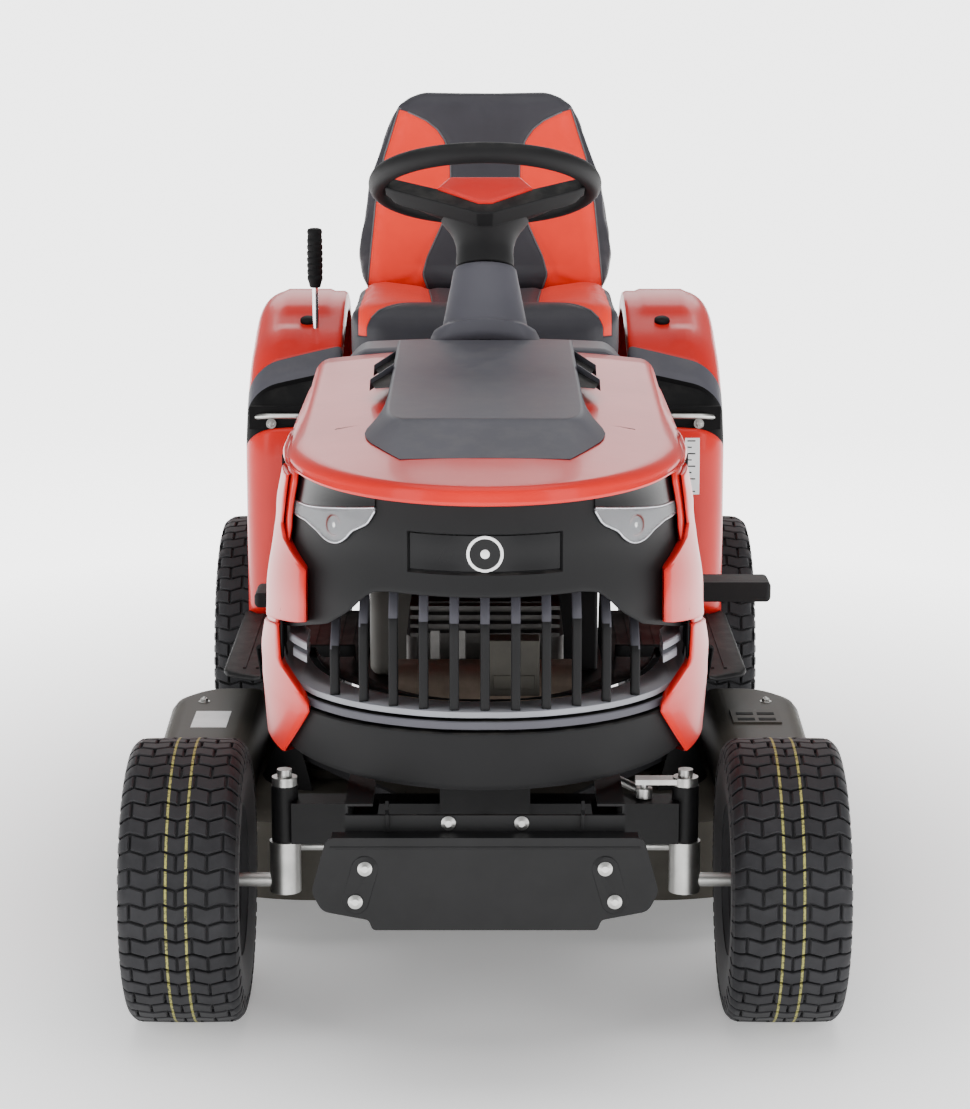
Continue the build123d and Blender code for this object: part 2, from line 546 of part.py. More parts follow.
grille = [(-100, 646), (100, 646), (150, 622), (194, 606), (255, 600), (255, 590), (232, 550), (186, 520),
          (0, 511), (-186, 520), (-232, 550), (-255, 590), (-255, 600), (-194, 606), (-150, 622)]
lamp = [(140, 744), (158, 712), (176, 696), (196, 694), (240, 730), (246, 762), (206, 748)]
mask_front = hood_nose + mask_inset + 4
mask_rear = -560
with BuildPart() as front_mask:
    add(hood_form(mask_inset, mask_bottom, lip_bottom - 1, mask_front))
    add(hood_form(mask_inset + mask_wall, mask_bottom - 10, lip_bottom + 5, mask_front + mask_wall),
        mode=Mode.SUBTRACT)
    block((-320, 320), (mask_rear, hood_rear + 10), (380, 900), mode=Mode.SUBTRACT)
    prism(grille, Plane.XZ.offset(500), 500, mode=Mode.SUBTRACT)
    for side in (-1, 1):
        prism([(side * x, z) for x, z in lamp], Plane.XZ.offset(500), 500, mode=Mode.SUBTRACT)
        # hinge tab and pin
        tab = sorted((side * (ear_x + 6), side * (ear_x + 10)))
        nose_y = mask_front + hood_nose_length * (1 - (1 - (ear_x / hood_half_bottom) ** 2) ** 0.5)
        block(tab, (hinge_y - 6, nose_y + 12), (hinge_z - 6, 425))
        rod((side * (ear_x - 6), hinge_y, hinge_z), (side * (ear_x + 8), hinge_y, hinge_z), hinge_radius)
finish(front_mask, "front_mask", "gray20")

with BuildPart() as headlights:
    for side in (-1, 1):
        prism([(side * x, z) for x, z in lamp], Plane.XZ.offset(500), 500)
    add(hood_form(mask_inset + 0.5, 600, 800, mask_front + 0.5), mode=Mode.INTERSECT)
    add(hood_form(mask_inset + 24, 590, 810, mask_front + 24), mode=Mode.SUBTRACT)
    block((-320, 320), (-690, -300), (380, 900), mode=Mode.SUBTRACT)
finish(headlights, "headlights", "gray90")

bar_pitch, bar_count, bar_width = 37.6, 11, 10
with BuildPart() as grille_bars:
    for index in range(bar_count):
        x = (index - (bar_count - 1) / 2) * bar_pitch
        nose_y = mask_front + hood_nose_length * (1 - (1 - (x / (hood_half_bottom - mask_inset)) ** 2) ** 0.5)
        block((x - bar_width / 2, x + bar_width / 2), (nose_y + 20, nose_y + 64), (505, 652))
    for z in (503, 648):
        add(hood_form(mask_inset + 34, z, z + 8, mask_front + 34))
        add(hood_form(mask_inset + 42, z - 5, z + 12, mask_front + 42), mode=Mode.SUBTRACT)
    block((-320, 320), (-690, 0), (380, 900), mode=Mode.SUBTRACT)
finish(grille_bars, "grille_bars", "gray10")

# ---------------------------------------------------------------- wheels


def tyre(name, x, y, radius, width, rim_radius):
    # hollow carcass, open towards the rim
    half, side = width / 2, radius - rim_radius
    bead = rim_radius + bead_gap
    outside = [(-half * 0.74, bead), (-half * 0.76, bead + 10), (-half, bead + side * 0.55),
               (-half * 0.93, radius - side * 0.14), (-half * 0.62, radius - side * 0.02), (-half * 0.3, radius),
               (half * 0.3, radius), (half * 0.62, radius - side * 0.02), (half * 0.93, radius - side * 0.14),
               (half, bead + side * 0.55), (half * 0.76, bead + 10), (half * 0.74, bead)]
    core = radius - side * 0.24
    inside = [(-half * 0.58, bead - 1), (-half * 0.62, bead + 12), (-half * 0.84, bead + side * 0.55),
              (-half * 0.7, core - 4), (-half * 0.4, core), (half * 0.4, core), (half * 0.7, core - 4),
              (half * 0.84, bead + side * 0.55), (half * 0.62, bead + 12), (half * 0.58, bead - 1)]
    with BuildPart() as part:
        turned(outside, (x, y, radius))
        turned(inside, (x, y, radius), mode=Mode.SUBTRACT)
    finish(part, name, "gray15")


def rim(name, x, y, radius, width, rim_radius, bore, side):
    half = width / 2
    hub = 30 if rim_radius > 90 else 24
    dish = side * half * 0.25
    with BuildPart() as part:
        turned([(-half * 0.84, rim_radius), (-half * 0.84, rim_radius + 8), (-half * 0.80, rim_radius + 8),
                (-half * 0.78, rim_radius), (half * 0.78, rim_radius), (half * 0.80, rim_radius + 8),
                (half * 0.84, rim_radius + 8), (half * 0.84, rim_radius), (half * 0.7, rim_radius - 4),
                (-half * 0.7, rim_radius - 4)], (x, y, radius))
        turned([(dish - 2, bore), (dish - 2, hub), (-dish - 2, rim_radius * 0.75), (-dish - 2, rim_radius - 2),
                (-dish + 2, rim_radius - 2), (-dish + 2, rim_radius * 0.78), (dish + 2, hub), (dish + 2, bore)],
               (x, y, radius))
        turned([(-half * 0.7, bore), (-half * 0.7, hub - 6), (half * 0.7, hub - 6), (half * 0.7, bore)],
               (x, y, radius))
    finish(part, name, "gray20")


corners = (("front_left", 1, front_track_half, front_axle_y, front_tyre_radius, front_tyre_width,
            front_rim_radius, 9.5 + running_gap),
           ("front_right", -1, front_track_half, front_axle_y, front_tyre_radius, front_tyre_width,
            front_rim_radius, 9.5 + running_gap),
           ("rear_left", 1, rear_track_half, rear_axle_y, rear_tyre_radius, rear_tyre_width,
            rear_rim_radius, 12.7 + running_gap),
           ("rear_right", -1, rear_track_half, rear_axle_y, rear_tyre_radius, rear_tyre_width,
            rear_rim_radius, 12.7 + running_gap))
for corner, side, track, y, radius, width, rim_radius, bore in corners:
    tyre(f"tyre_{corner}", side * track, y, radius, width, rim_radius)
    rim(f"rim_{corner}", side * track, y, radius, width, rim_radius, bore, side)

# ---------------------------------------------------------------- floor, fenders and rear body
floor_inner, floor_outer, floor_front, floor_rear, floor_low, floor_high = 190, 400, -60, 415, 337, 346
with BuildPart() as footboards:
    for side in (-1, 1):
        block(sorted((side * floor_inner, side * floor_outer)), (floor_front, floor_rear),
              (floor_low, floor_high))
        toe = [(floor_front, floor_low), (floor_front, floor_high), (-150, 420), (-158, 415)]
        prism(toe, Plane.YZ.offset(side * (floor_inner + floor_outer) / 2),
              (floor_outer - floor_inner) / 2, both=True)
        block(sorted((side * 172.2, side * (floor_inner + 1))), (100, 130), (floor_low, floor_high))
        block(sorted((side * 172.2, side * (floor_inner + 1))), (360, 390), (floor_low, floor_high))
finish(footboards, "footboards", "gray15")

fender_side = [(380, 346.4), (386, 654), (430, 716), (520, 780), (700, 838), (800, 844), (890, 800),
               (920, 690), (906, 420), (876, 400)]
fender_room = [(384, 300), (390, 652), (433, 712), (522, 776), (701, 834), (799, 840), (887, 797),
               (916, 690), (902, 421), (886, 300)]
lever_x, lever_y, lever_pivot_z = -286, 580, 700
lever_slot = (lever_y - 82, lever_y + 14)


def fender(side):
    inner, outer = side * fender_inner, side * fender_outer
    with BuildPart() as part:
        prism(fender_side, Plane.YZ.offset(inner), side * (fender_outer - fender_inner))
        corner_edges = part.edges().filter_by(lambda edge: abs(edge.center().X - outer) < 1)
        fillet(corner_edges.filter_by(lambda edge: edge.center().Z > 640 and edge.center().Y > 400), 26)
        prism(fender_room, Plane.YZ.offset(inner + side * fender_wall),
              side * (fender_outer - fender_inner - 2 * fender_wall), mode=Mode.SUBTRACT)
        rod((inner - side * 5, rear_axle_y, rear_tyre_radius), (outer + side * 5, rear_axle_y, rear_tyre_radius),
            arch_radius, mode=Mode.SUBTRACT)
        if side < 0:
            block((lever_x - 8, lever_x + 8), lever_slot, (740, 860), mode=Mode.SUBTRACT)
    return part


finish(fender(1), "fender_left", "red")
finish(fender(-1), "fender_right", "red")

band = [(379.6, 660), (386, 672), (428, 732), (518, 797), (600, 824),
        (600, 810), (521, 782), (430, 718), (386, 655)]
with BuildPart() as fender_trims:
    for side in (-1, 1):
        start = side * (fender_inner + 2)
        prism([(y, z + 0.4) for y, z in band], Plane.YZ.offset(start),
              side * (-lever_x - 12 - fender_inner - 2))
finish(fender_trims, "fender_trims", "gray50")

tunnel_half = fender_inner - 1
collector_hole_x, collector_hole_z, collector_hole_radius = 170, 700, 5.5
with BuildPart() as seat_platform:
    block((-tunnel_half, tunnel_half), (386, 908), (platform_top - 6, platform_top))
    block((-tunnel_half, tunnel_half), (386, 392), (560, platform_top))
    block((-tunnel_half, tunnel_half), (902, 908), (400, 760))
    block((-chute_half - 4, chute_half + 4), (900, 910), (424, 648), mode=Mode.SUBTRACT)
    for side in (-1, 1):
        rod((side * collector_hole_x, 900, collector_hole_z), (side * collector_hole_x, 910, collector_hole_z),
            collector_hole_radius, mode=Mode.SUBTRACT)
    for side in (-1, 1):
        ear = [(386, platform_top - 1), (386, 712),
               (seat_hinge_y + 8, seat_hinge_z + 7), (seat_hinge_y - 8, seat_hinge_z + 7),
               (seat_hinge_y - 8, seat_hinge_z - 8), (360, 700), (387, 694)]
        prism(ear, Plane.YZ.offset(side * 130 - 3), 6)
        rod((side * 130 - 4, seat_hinge_y, seat_hinge_z), (side * 130 + 4, seat_hinge_y, seat_hinge_z),
            seat_pin_radius + running_gap, mode=Mode.SUBTRACT)
finish(seat_platform, "seat_platform", "gray20")

with BuildPart() as seat_bracket:
    rod((-135, seat_hinge_y, seat_hinge_z), (135, seat_hinge_y, seat_hinge_z), seat_pin_radius)
    block((-118, 118), (seat_hinge_y - 4, 680), (752, 758))
    for side in (-1, 1):
        block(sorted((side * 112, side * 118)), (seat_hinge_y - 7, seat_hinge_y + 12), (738, 756))
        block(sorted((side * 80, side * 104)), (seat_hinge_y, 670), (757, seat_bottom - 0.5))
        rod((side * 80, 620, platform_top + 0.4), (side * 80, 620, 753), 20)
finish(seat_bracket, "seat_bracket", "gray30")

with BuildPart() as seat_cushion:
    with BuildSketch(Plane.XY.offset(seat_bottom)) as pad:
        with Locations((0, (seat_front + seat_rear) / 2)):
            RectangleRounded(2 * seat_half, seat_rear - seat_front, 60)
    extrude(pad.sketch, amount=seat_top - seat_bottom)
    fillet(seat_cushion.faces().sort_by(Axis.Z)[-1].edges(), 24)
finish(seat_cushion, "seat_cushion", "gray30")

slope = radians(back_tilt)
back_outline = [(-200, 0), (200, 0), (223, 90), (212, 200), (152, 362), (-152, 362), (-212, 200), (-223, 90)]
with BuildPart() as seat_back:
    back_plane = Plane(origin=(0, seat_rear + 3, 838), x_dir=(1, 0, 0), z_dir=(0, -cos(slope), sin(slope)))
    prism(back_outline, back_plane, -back_thickness, rounding=42)
    broad_faces = seat_back.faces().filter_by(lambda face: abs(face.normal_at().dot(back_plane.z_dir)) > 0.99)
    fillet(broad_faces.edges(), 18)
finish(seat_back, "seat_back", "gray30")

# ---------------------------------------------------------------- controls
with BuildPart() as height_lever:
    rod((lever_x, lever_y, lever_pivot_z), (lever_x, lever_y, 880), 5)
    turned([(867, 0), (867, 10), (885, 13.5), (940, 14), (958, 12), (966, 6), (966, 0)],
           (lever_x, lever_y, 0), along=(0, 0, 1))
    rod((lever_x - 12, lever_y, lever_pivot_z), (lever_x + 12, lever_y, lever_pivot_z), 12)
finish(height_lever, "height_lever", "gray20")


def pedal(name, side, pivot_y, pad_y, pad_z, near, far, depth, thickness):
    # pivot stub in the frame rail, an arm, a cross tube and a pad
    start, bar = side * (rail_outer - 12), side * 185
    with BuildPart() as part:
        rod((start, pivot_y, pedal_pivot_z), (bar, pivot_y, pedal_pivot_z), pedal_pivot_radius)
        arm = [(pivot_y - 14, pedal_pivot_z - 10), (pivot_y + 14, pedal_pivot_z - 10),
               (pad_y + 10, pad_z + 9), (pad_y - 10, pad_z + 9)]
        prism(arm, Plane.YZ.offset(side * 174), side * 9)
        rod((side * 175, pad_y, pad_z), (side * (near + 20), pad_y, pad_z), 8)
        block(sorted((side * near, side * far)), (pad_y - depth / 2, pad_y + depth / 2),
              (pad_z - thickness / 2, pad_z + thickness / 2))
        fillet(part.faces().sort_by(Axis.X)[-1 if side > 0 else 0].edges(), 8)
    finish(part, name, "gray15")


pedal("brake_pedal", 1, brake_pivot_y, 5, 470, 330, 432, 62, 30)
pedal("drive_pedal", -1, drive_pivot_y, -40, 468, 262, 345, 70, 22)

# ---------------------------------------------------------------- cutting deck
hanger_height = 9
with BuildPart() as deck_shell:
    for low, high, shrink, mode in ((deck_bottom, deck_top, 0, Mode.ADD),
                                    (deck_bottom - 1, deck_top - deck_wall, deck_wall, Mode.SUBTRACT)):
        with BuildSketch(Plane.XY.offset(low)) as plan:
            with Locations((0, deck_y)):
                SlotOverall(2 * (deck_half_width - shrink), 2 * (deck_radius - shrink))
        extrude(plan.sketch, amount=high - low, mode=mode)
    for side in (-1, 1):
        rod((side * spindle_x, deck_y, deck_top - 20), (side * spindle_x, deck_y, deck_top + 14), 34)
        rod((side * spindle_x, deck_y, deck_top - 30), (side * spindle_x, deck_y, deck_top + 20),
            12 + running_gap, mode=Mode.SUBTRACT)
    block((-chute_half + 6, chute_half - 6), (120, 400), (deck_bottom + 26, deck_top - deck_wall),
          mode=Mode.SUBTRACT)
    for side in (-1, 1):
        # hanger ears
        for y in (-160, 120):
            block(sorted((side * 118, side * 124)), (y - 14, y + 14),
                  (deck_top - 2, deck_top + hanger_height))
finish(deck_shell, "deck_shell", "gray35")

with BuildPart() as deck_covers:
    for side in (-1, 1):
        centre = (side * spindle_x, deck_y, 0)
        turned([(deck_top + 0.3, 96), (deck_top + 0.3, 99), (244, 72), (244, 0), (241, 0), (241, 70)],
               centre, along=(0, 0, 1))
    # way in for the belt, on the side towards the engine and towards the other cover
    prism([(-190, 45), (190, 45), (330, 10), (200, -220), (-200, -220), (-330, 10)],
          Plane.XY.offset(deck_top), 53, mode=Mode.SUBTRACT)
finish(deck_covers, "deck_covers", "gray20")


def cutter(side, lies_across):
    # the blade bar and its spindle, with the pulley on top
    x = side * spindle_x
    with BuildPart() as bar:
        if lies_across:
            block((x - blade_half, x + blade_half), (deck_y - blade_width / 2, deck_y + blade_width / 2),
                  (blade_z, blade_z + 5))
        else:
            block((x - blade_width / 2, x + blade_width / 2), (deck_y - blade_half, deck_y + blade_half),
                  (blade_z, blade_z + 5))
    with BuildPart() as spindle:
        rod((x, deck_y, blade_z + 5.2), (x, deck_y, deck_belt_z + 9), 12)
        rod((x, deck_y, blade_z + 5.2), (x, deck_y, blade_z + 24), 26)
        pulley(x, deck_y, deck_belt_z, deck_pulley_radius)
    return bar, spindle


for label, side in (("left", 1), ("right", -1)):
    blade, spindle = cutter(side, side > 0)
    finish(blade, f"blade_{label}", "gray70")
    finish(spindle, f"spindle_{label}", "gray60")

with BuildPart() as discharge_chute:
    duct = [(256, 80), (560, 342), (896, 432), (896, 640), (520, 500), (330, 300), (256, 262)]
    hollow = [(250, 83), (259, 83), (559, 345), (900, 437), (900, 636),
              (521, 496.5), (332, 297.5), (257, 259), (250, 259)]
    prism(duct, Plane.YZ.offset(-chute_half), 2 * chute_half)
    prism(hollow, Plane.YZ.offset(-chute_half + chute_wall), 2 * (chute_half - chute_wall),
          mode=Mode.SUBTRACT)
finish(discharge_chute, "discharge_chute", "gray15")
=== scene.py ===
from math import asin, cos, hypot, pi, radians, sin, sqrt

import bmesh
import bpy
from mathutils import Matrix, Vector


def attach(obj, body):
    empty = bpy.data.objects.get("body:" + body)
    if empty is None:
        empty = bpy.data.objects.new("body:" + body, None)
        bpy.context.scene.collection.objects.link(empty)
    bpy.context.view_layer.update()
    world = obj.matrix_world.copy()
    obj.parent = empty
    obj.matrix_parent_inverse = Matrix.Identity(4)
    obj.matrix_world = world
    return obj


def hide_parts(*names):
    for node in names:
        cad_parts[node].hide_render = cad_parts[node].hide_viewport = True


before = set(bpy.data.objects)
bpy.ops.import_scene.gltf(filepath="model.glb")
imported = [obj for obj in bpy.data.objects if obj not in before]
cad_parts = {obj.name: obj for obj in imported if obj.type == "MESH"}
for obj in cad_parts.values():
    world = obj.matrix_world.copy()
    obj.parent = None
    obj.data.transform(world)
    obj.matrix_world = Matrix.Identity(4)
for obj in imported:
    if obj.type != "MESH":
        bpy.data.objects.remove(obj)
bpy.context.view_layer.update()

# everything is in metres: +X the tractor's left, +Y towards the rear, +Z up


# shader nodes written as expressions

class Wire:
    # wraps one output socket, so that node maths reads as Python
    def __init__(self, graph, socket):
        self.graph, self.socket = graph, socket

    def maths(self, operation, other=None, swap=False, clamp=False):
        first, second = (other, self) if swap else (self, other)
        return self.graph.make("ShaderNodeMath", {"operation": operation, "use_clamp": clamp},
                               {0: first, 1: second})

    def __add__(self, other): return self.maths("ADD", other)
    def __radd__(self, other): return self.maths("ADD", other)
    def __sub__(self, other): return self.maths("SUBTRACT", other)
    def __rsub__(self, other): return self.maths("SUBTRACT", other, swap=True)
    def __mul__(self, other): return self.maths("MULTIPLY", other)
    def __rmul__(self, other): return self.maths("MULTIPLY", other)
    def __truediv__(self, other): return self.maths("DIVIDE", other)
    def __pow__(self, other): return self.maths("POWER", other)
    def __lt__(self, other): return self.maths("LESS_THAN", other)
    def __gt__(self, other): return self.maths("GREATER_THAN", other)
    def __abs__(self): return self.maths("ABSOLUTE")

    def clamped(self): return self.maths("ADD", 0.0, clamp=True)
    def ramp(self, low, high): return ((self - low) / (high - low)).clamped()


class Graph:
    # one material: its node tree and the shader that ends it
    def __init__(self, name, shader=None):
        self.material = bpy.data.materials.new(name)
        self.material.use_nodes = True
        self.tree = self.material.node_tree
        self.shader = self.tree.nodes["Principled BSDF"]
        for socket, value in (shader or {}).items():
            self.shader.inputs[socket].default_value = value

    def make(self, kind, settings=None, inputs=None, output=0):
        node = self.tree.nodes.new(kind)
        for key, value in (settings or {}).items():
            setattr(node, key, value)
        for key, value in (inputs or {}).items():
            if value is not None:
                self.feed(node.inputs[key], value)
        return Wire(self, node.outputs[output])

    def feed(self, socket, value):
        if isinstance(value, Wire):
            self.tree.links.new(value.socket, socket)
        elif hasattr(socket.default_value, "__len__") and len(socket.default_value) == 4 and len(value) == 3:
            socket.default_value = (*value, 1)
        else:
            socket.default_value = value

    def place(self):
        return self.make("ShaderNodeTexCoord", output="Object")

    def remainder(self, value):
        return value.maths("FRACT")

    def spread(self, name):
        return self.make("ShaderNodeAttribute", {"attribute_name": name}, output="Fac")

    def speckle(self, scale, detail=4.0, roughness=0.6, at=None):
        return self.make("ShaderNodeTexNoise", inputs={"Vector": at or self.place(), "Scale": scale,
                                                       "Detail": detail, "Roughness": roughness})

    def cells(self, scale, at=None, output="Distance", feature="F1"):
        return self.make("ShaderNodeTexVoronoi", {"feature": feature},
                         {"Vector": at or self.place(), "Scale": scale}, output=output)

    def blend(self, mask, first, second):
        return self.make("ShaderNodeMix", {"data_type": "RGBA"}, {0: mask, 6: first, 7: second}, output=2)

    def parts(self, vector):
        split = self.make("ShaderNodeSeparateXYZ", inputs={0: vector})
        return [Wire(self, socket) for socket in split.socket.node.outputs]

    def facing(self):
        normal = self.make("ShaderNodeNewGeometry", output="Normal")
        return self.parts(normal)[2]

    def bump(self, height, strength, distance):
        sizes = {"Height": height, "Strength": strength, "Distance": distance}
        self.feed(self.shader.inputs["Normal"], self.make("ShaderNodeBump", inputs=sizes))

    def end(self, **inputs):
        for name, value in inputs.items():
            self.feed(self.shader.inputs[name.replace("_", " ")], value)
        return self.material


def mouldedPlastic(name, colour, rough, grain=2600, depth=0.00008, lighter=1.25, spec=0.35):
    # fine spark-eroded grain, a little dust on what faces up
    g = Graph(name, {"Specular IOR Level": spec})
    pebble = g.cells(grain) * 0.7 + g.speckle(grain * 0.6, 2) * 0.5
    cloud = g.speckle(9, 3)
    dust = (g.facing().ramp(0.55, 1.0) * g.speckle(34, 5).ramp(0.42, 0.75)) * 0.12
    base = g.blend(cloud.ramp(0.35, 0.7), colour, tuple(min(1, c * lighter) for c in colour))
    g.bump(pebble, 0.35, depth)
    return g.end(Base_Color=g.blend(dust, base, (0.30, 0.28, 0.25)),
                 Roughness=rough + cloud * 0.08 + dust * 0.3)


def glossPaint(name, colour, deep):
    # sprayed gloss over a moulded panel: slight ripple, soft clouding, fine dust near flat tops
    g = Graph(name, {"Coat Weight": 0.14, "Coat Roughness": 0.08, "Coat IOR": 1.45,
                     "Specular IOR Level": 0.20})
    cloud = g.speckle(5, 3)
    dust = g.facing().ramp(0.7, 1.0) * g.speckle(60, 6, 0.7).ramp(0.5, 0.85) * 0.035
    base = g.blend(cloud.ramp(0.3, 0.75), colour, deep)
    ripple = g.speckle(420, 2, 0.4) + g.speckle(38, 2) * 1.5
    g.bump(ripple, 0.10, 0.00008)
    return g.end(Base_Color=g.blend(dust, base, (0.75, 0.6, 0.55)), Roughness=0.30 + cloud * 0.06)


def powderCoat(name, colour, rough=0.42, chip=0.0):
    g = Graph(name, {"Specular IOR Level": 0.22})
    peel = g.speckle(1400, 3, 0.5)
    cloud = g.speckle(14, 4)
    base = g.blend(cloud.ramp(0.3, 0.75), colour, tuple(c * 1.5 + 0.004 for c in colour))
    scuff = g.speckle(55, 8, 0.75).ramp(0.62, 0.72) * chip
    g.bump(peel, 0.22, 0.0001)
    return g.end(Base_Color=g.blend(scuff, base, (0.28, 0.26, 0.24)),
                 Roughness=rough + cloud * 0.12 + scuff * 0.15)


def bareMetal(name, colour, rough, cast=0.0):
    # zinc or cast alloy: streaks for the rolled pieces, pits for the cast ones
    g = Graph(name, {"Metallic": 1.0})
    x, y, z = g.parts(g.place())
    streak = g.speckle(240, 4, 0.6, at=g.make("ShaderNodeCombineXYZ", inputs={0: x * 0.15, 1: y, 2: z}))
    pits = g.cells(900)
    tone = g.speckle(26, 5)
    base = g.blend(tone.ramp(0.3, 0.7), colour, tuple(c * 0.72 for c in colour))
    g.bump(streak * (1 - cast) + pits * cast * 2, 0.18 + cast * 0.3, 0.00015)
    return g.end(Base_Color=base, Roughness=rough + streak * 0.14 + tone * 0.1)


def tyreRubber(name, lines):
    # dusty black rubber; two painted lines run round the tread where the piece says how far across it is
    g = Graph(name, {"Specular IOR Level": 0.3, "Sheen Weight": 0.08, "Sheen Roughness": 0.4})
    fine = g.speckle(900, 5, 0.6)
    cloud = g.speckle(22, 5, 0.65)
    base = g.blend(cloud.ramp(0.35, 0.7), (0.012, 0.012, 0.014), (0.026, 0.026, 0.029))
    if lines:
        across = g.spread("across")
        stroke = 1 - abs(abs(across) - 0.013).ramp(0.0011, 0.0019)
        worn = g.speckle(260, 6, 0.7).ramp(0.36, 0.52)
        base = g.blend(stroke * worn * g.spread("tread"), base, (0.40, 0.38, 0.10))
    g.bump(fine, 0.3, 0.0002)
    return g.end(Base_Color=base, Roughness=0.55 + cloud * 0.2)


def clearLens(name):
    # thin clear cover: mostly see-through, with a faint gloss
    g = Graph(name, {"Roughness": 0.05, "IOR": 1.46, "Specular IOR Level": 0.5})
    haze = g.speckle(500, 3)
    g.bump(haze, 0.05, 0.0001)
    return g.end(Base_Color=g.blend(haze * 0.2, (0.90, 0.92, 0.96), (0.80, 0.83, 0.88)),
                 Alpha=0.10 + haze * 0.04)


paint = {
    "red": glossPaint("glossRed", (0.66, 0.014, 0.009), (0.56, 0.010, 0.007)),
    "black": mouldedPlastic("blackMoulding", (0.0075, 0.0075, 0.008), 0.55, spec=0.17),
    # a darker copy of the black: used for darker black parts, and as painted shade in slots, grooves,
    # openings and recesses
    "blackDeepAndShade": mouldedPlastic("blackDarkAndShade", (0.004, 0.004, 0.0044), 0.6, spec=0.13),
    "gloss": mouldedPlastic("blackGloss", (0.003, 0.003, 0.0036), 0.22, depth=0.00001, spec=0.16),
    "grey": mouldedPlastic("greyMoulding", (0.070, 0.069, 0.083), 0.45, lighter=1.15, spec=0.24),
    "sill": mouldedPlastic("silverGreyMoulding", (0.23, 0.235, 0.26), 0.38),
    "steelBlack": powderCoat("blackPowder", (0.004, 0.004, 0.0044)),
    "deck": powderCoat("deckPowder", (0.050, 0.046, 0.038), 0.45, chip=0.25),
    "rim": powderCoat("wheelPaint", (0.020, 0.020, 0.020), 0.35),
    "zinc": bareMetal("zincPlate", (0.62, 0.62, 0.60), 0.28),
    "cast": bareMetal("castAlloy", (0.15, 0.145, 0.14), 0.5, cast=1.0),
    "hot": bareMetal("heatedSteel", (0.34, 0.27, 0.22), 0.55, cast=0.5),
    "chrome": bareMetal("brightMetal", (0.80, 0.80, 0.82), 0.10),
    "treadRubber": tyreRubber("treadRubber", True),
    "rubber": tyreRubber("plainRubber", False),
    "thread": mouldedPlastic("seamThread", (0.10, 0.095, 0.10), 0.7, grain=5000),
    "white": mouldedPlastic("whiteTank", (0.075, 0.072, 0.064), 0.5),
    "label": mouldedPlastic("labelFilm", (0.80, 0.80, 0.80), 0.3, depth=0.00001),
    "lens": clearLens("clearLens"),
    "reflector": bareMetal("lampReflector", (0.62, 0.63, 0.67), 0.16),
    "amber": mouldedPlastic("lampRing", (0.10, 0.016, 0.012), 0.3),
    # the reflector's bowl in a darker metal: painted shade in its hollow
    "bowl": bareMetal("lampBowlPaintedShade", (0.16, 0.14, 0.145), 0.22),
    "bulb": mouldedPlastic("bulbGlass", (0.95, 0.92, 0.86), 0.1, depth=0.00001, spec=0.6),
}
print("materials made")


# mesh helpers

def newObject(name, bm, material, body, smooth=35):
    mesh = bpy.data.meshes.new(name)
    bm.to_mesh(mesh)
    bm.free()
    piece = bpy.data.objects.new(name, mesh)
    bpy.context.scene.collection.objects.link(piece)
    for one in material if isinstance(material, (list, tuple)) else [material]:
        mesh.materials.append(one)
    mesh.shade_smooth()
    if smooth < 180:
        mesh.set_sharp_from_angle(angle=radians(smooth))
    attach(piece, body)
    return piece


def addGrid(bm, rows, closeAcross=False, material=0, cap=False):
    # rows of points become a sheet of quads
    verts = [[bm.verts.new(point) for point in row] for row in rows]
    for low, high in zip(verts, verts[1:]):
        count = len(low)
        for index in range(count if closeAcross else count - 1):
            after = (index + 1) % count
            face = bm.faces.new((low[index], low[after], high[after], high[index]))
            face.material_index = material
    if cap:
        for row in (verts[0], verts[-1]):
            bm.faces.new(row).material_index = material
    return verts


def tidy(bm, outward=True, merge=0.00002):
    bmesh.ops.remove_doubles(bm, verts=bm.verts, dist=merge)
    bmesh.ops.dissolve_degenerate(bm, dist=merge / 2, edges=bm.edges)
    bmesh.ops.recalc_face_normals(bm, faces=bm.faces)
    if outward:
        middle = sum((v.co for v in bm.verts), Vector()) / len(bm.verts)
        push = sum((f.calc_center_median() - middle).dot(f.normal) * f.calc_area() for f in bm.faces)
        if push < 0:
            bmesh.ops.reverse_faces(bm, faces=bm.faces)
    return bm


def mirrored(bm):
    copy = bmesh.ops.duplicate(bm, geom=bm.verts[:] + bm.edges[:] + bm.faces[:])["geom"]
    for vert in (v for v in copy if isinstance(v, bmesh.types.BMVert)):
        vert.co.x = -vert.co.x
    bmesh.ops.reverse_faces(bm, faces=[f for f in copy if isinstance(f, bmesh.types.BMFace)])
    return bm


def thicken(piece, depth, rim=True):
    solid = piece.modifiers.new("wall", "SOLIDIFY")
    solid.thickness, solid.offset, solid.use_rim = depth, -1, rim
    return piece


def rounded(piece, width, segments=2, angle=30):
    edge = piece.modifiers.new("edges", "BEVEL")
    edge.width, edge.segments, edge.limit_method = width, segments, "ANGLE"
    edge.angle_limit, edge.harden_normals = radians(angle), True
    return piece


def smoothed(piece, levels=1):
    piece.modifiers.new("smooth", "SUBSURF").levels = levels
    piece.modifiers["smooth"].render_levels = levels
    return piece


def between(table, value):
    # straight-line reading of a short table of pairs
    if value <= table[0][0]:
        return table[0][1]
    for (x0, y0), (x1, y1) in zip(table, table[1:]):
        if value <= x1:
            return y0 + (y1 - y0) * (value - x0) / (x1 - x0)
    return table[-1][1]


def eased(table, value):
    # the same, with the corners eased
    for (x0, y0), (x1, y1) in zip(table, table[1:]):
        if value <= x1:
            t = min(1, max(0, (value - x0) / (x1 - x0)))
            return y0 + (y1 - y0) * t * t * (3 - 2 * t)
    return table[-1][1]


def steps(start, end, count):
    return [start + (end - start) * index / count for index in range(count + 1)]


def frameAt(origin, along, side=(1, 0, 0)):
    # a matrix whose Z runs along a direction
    z = Vector(along).normalized()
    x = Vector(side)
    x = (x - z * x.dot(z)).normalized()
    return Matrix.Translation(origin) @ Matrix((x, z.cross(x), z)).transposed().to_4x4()


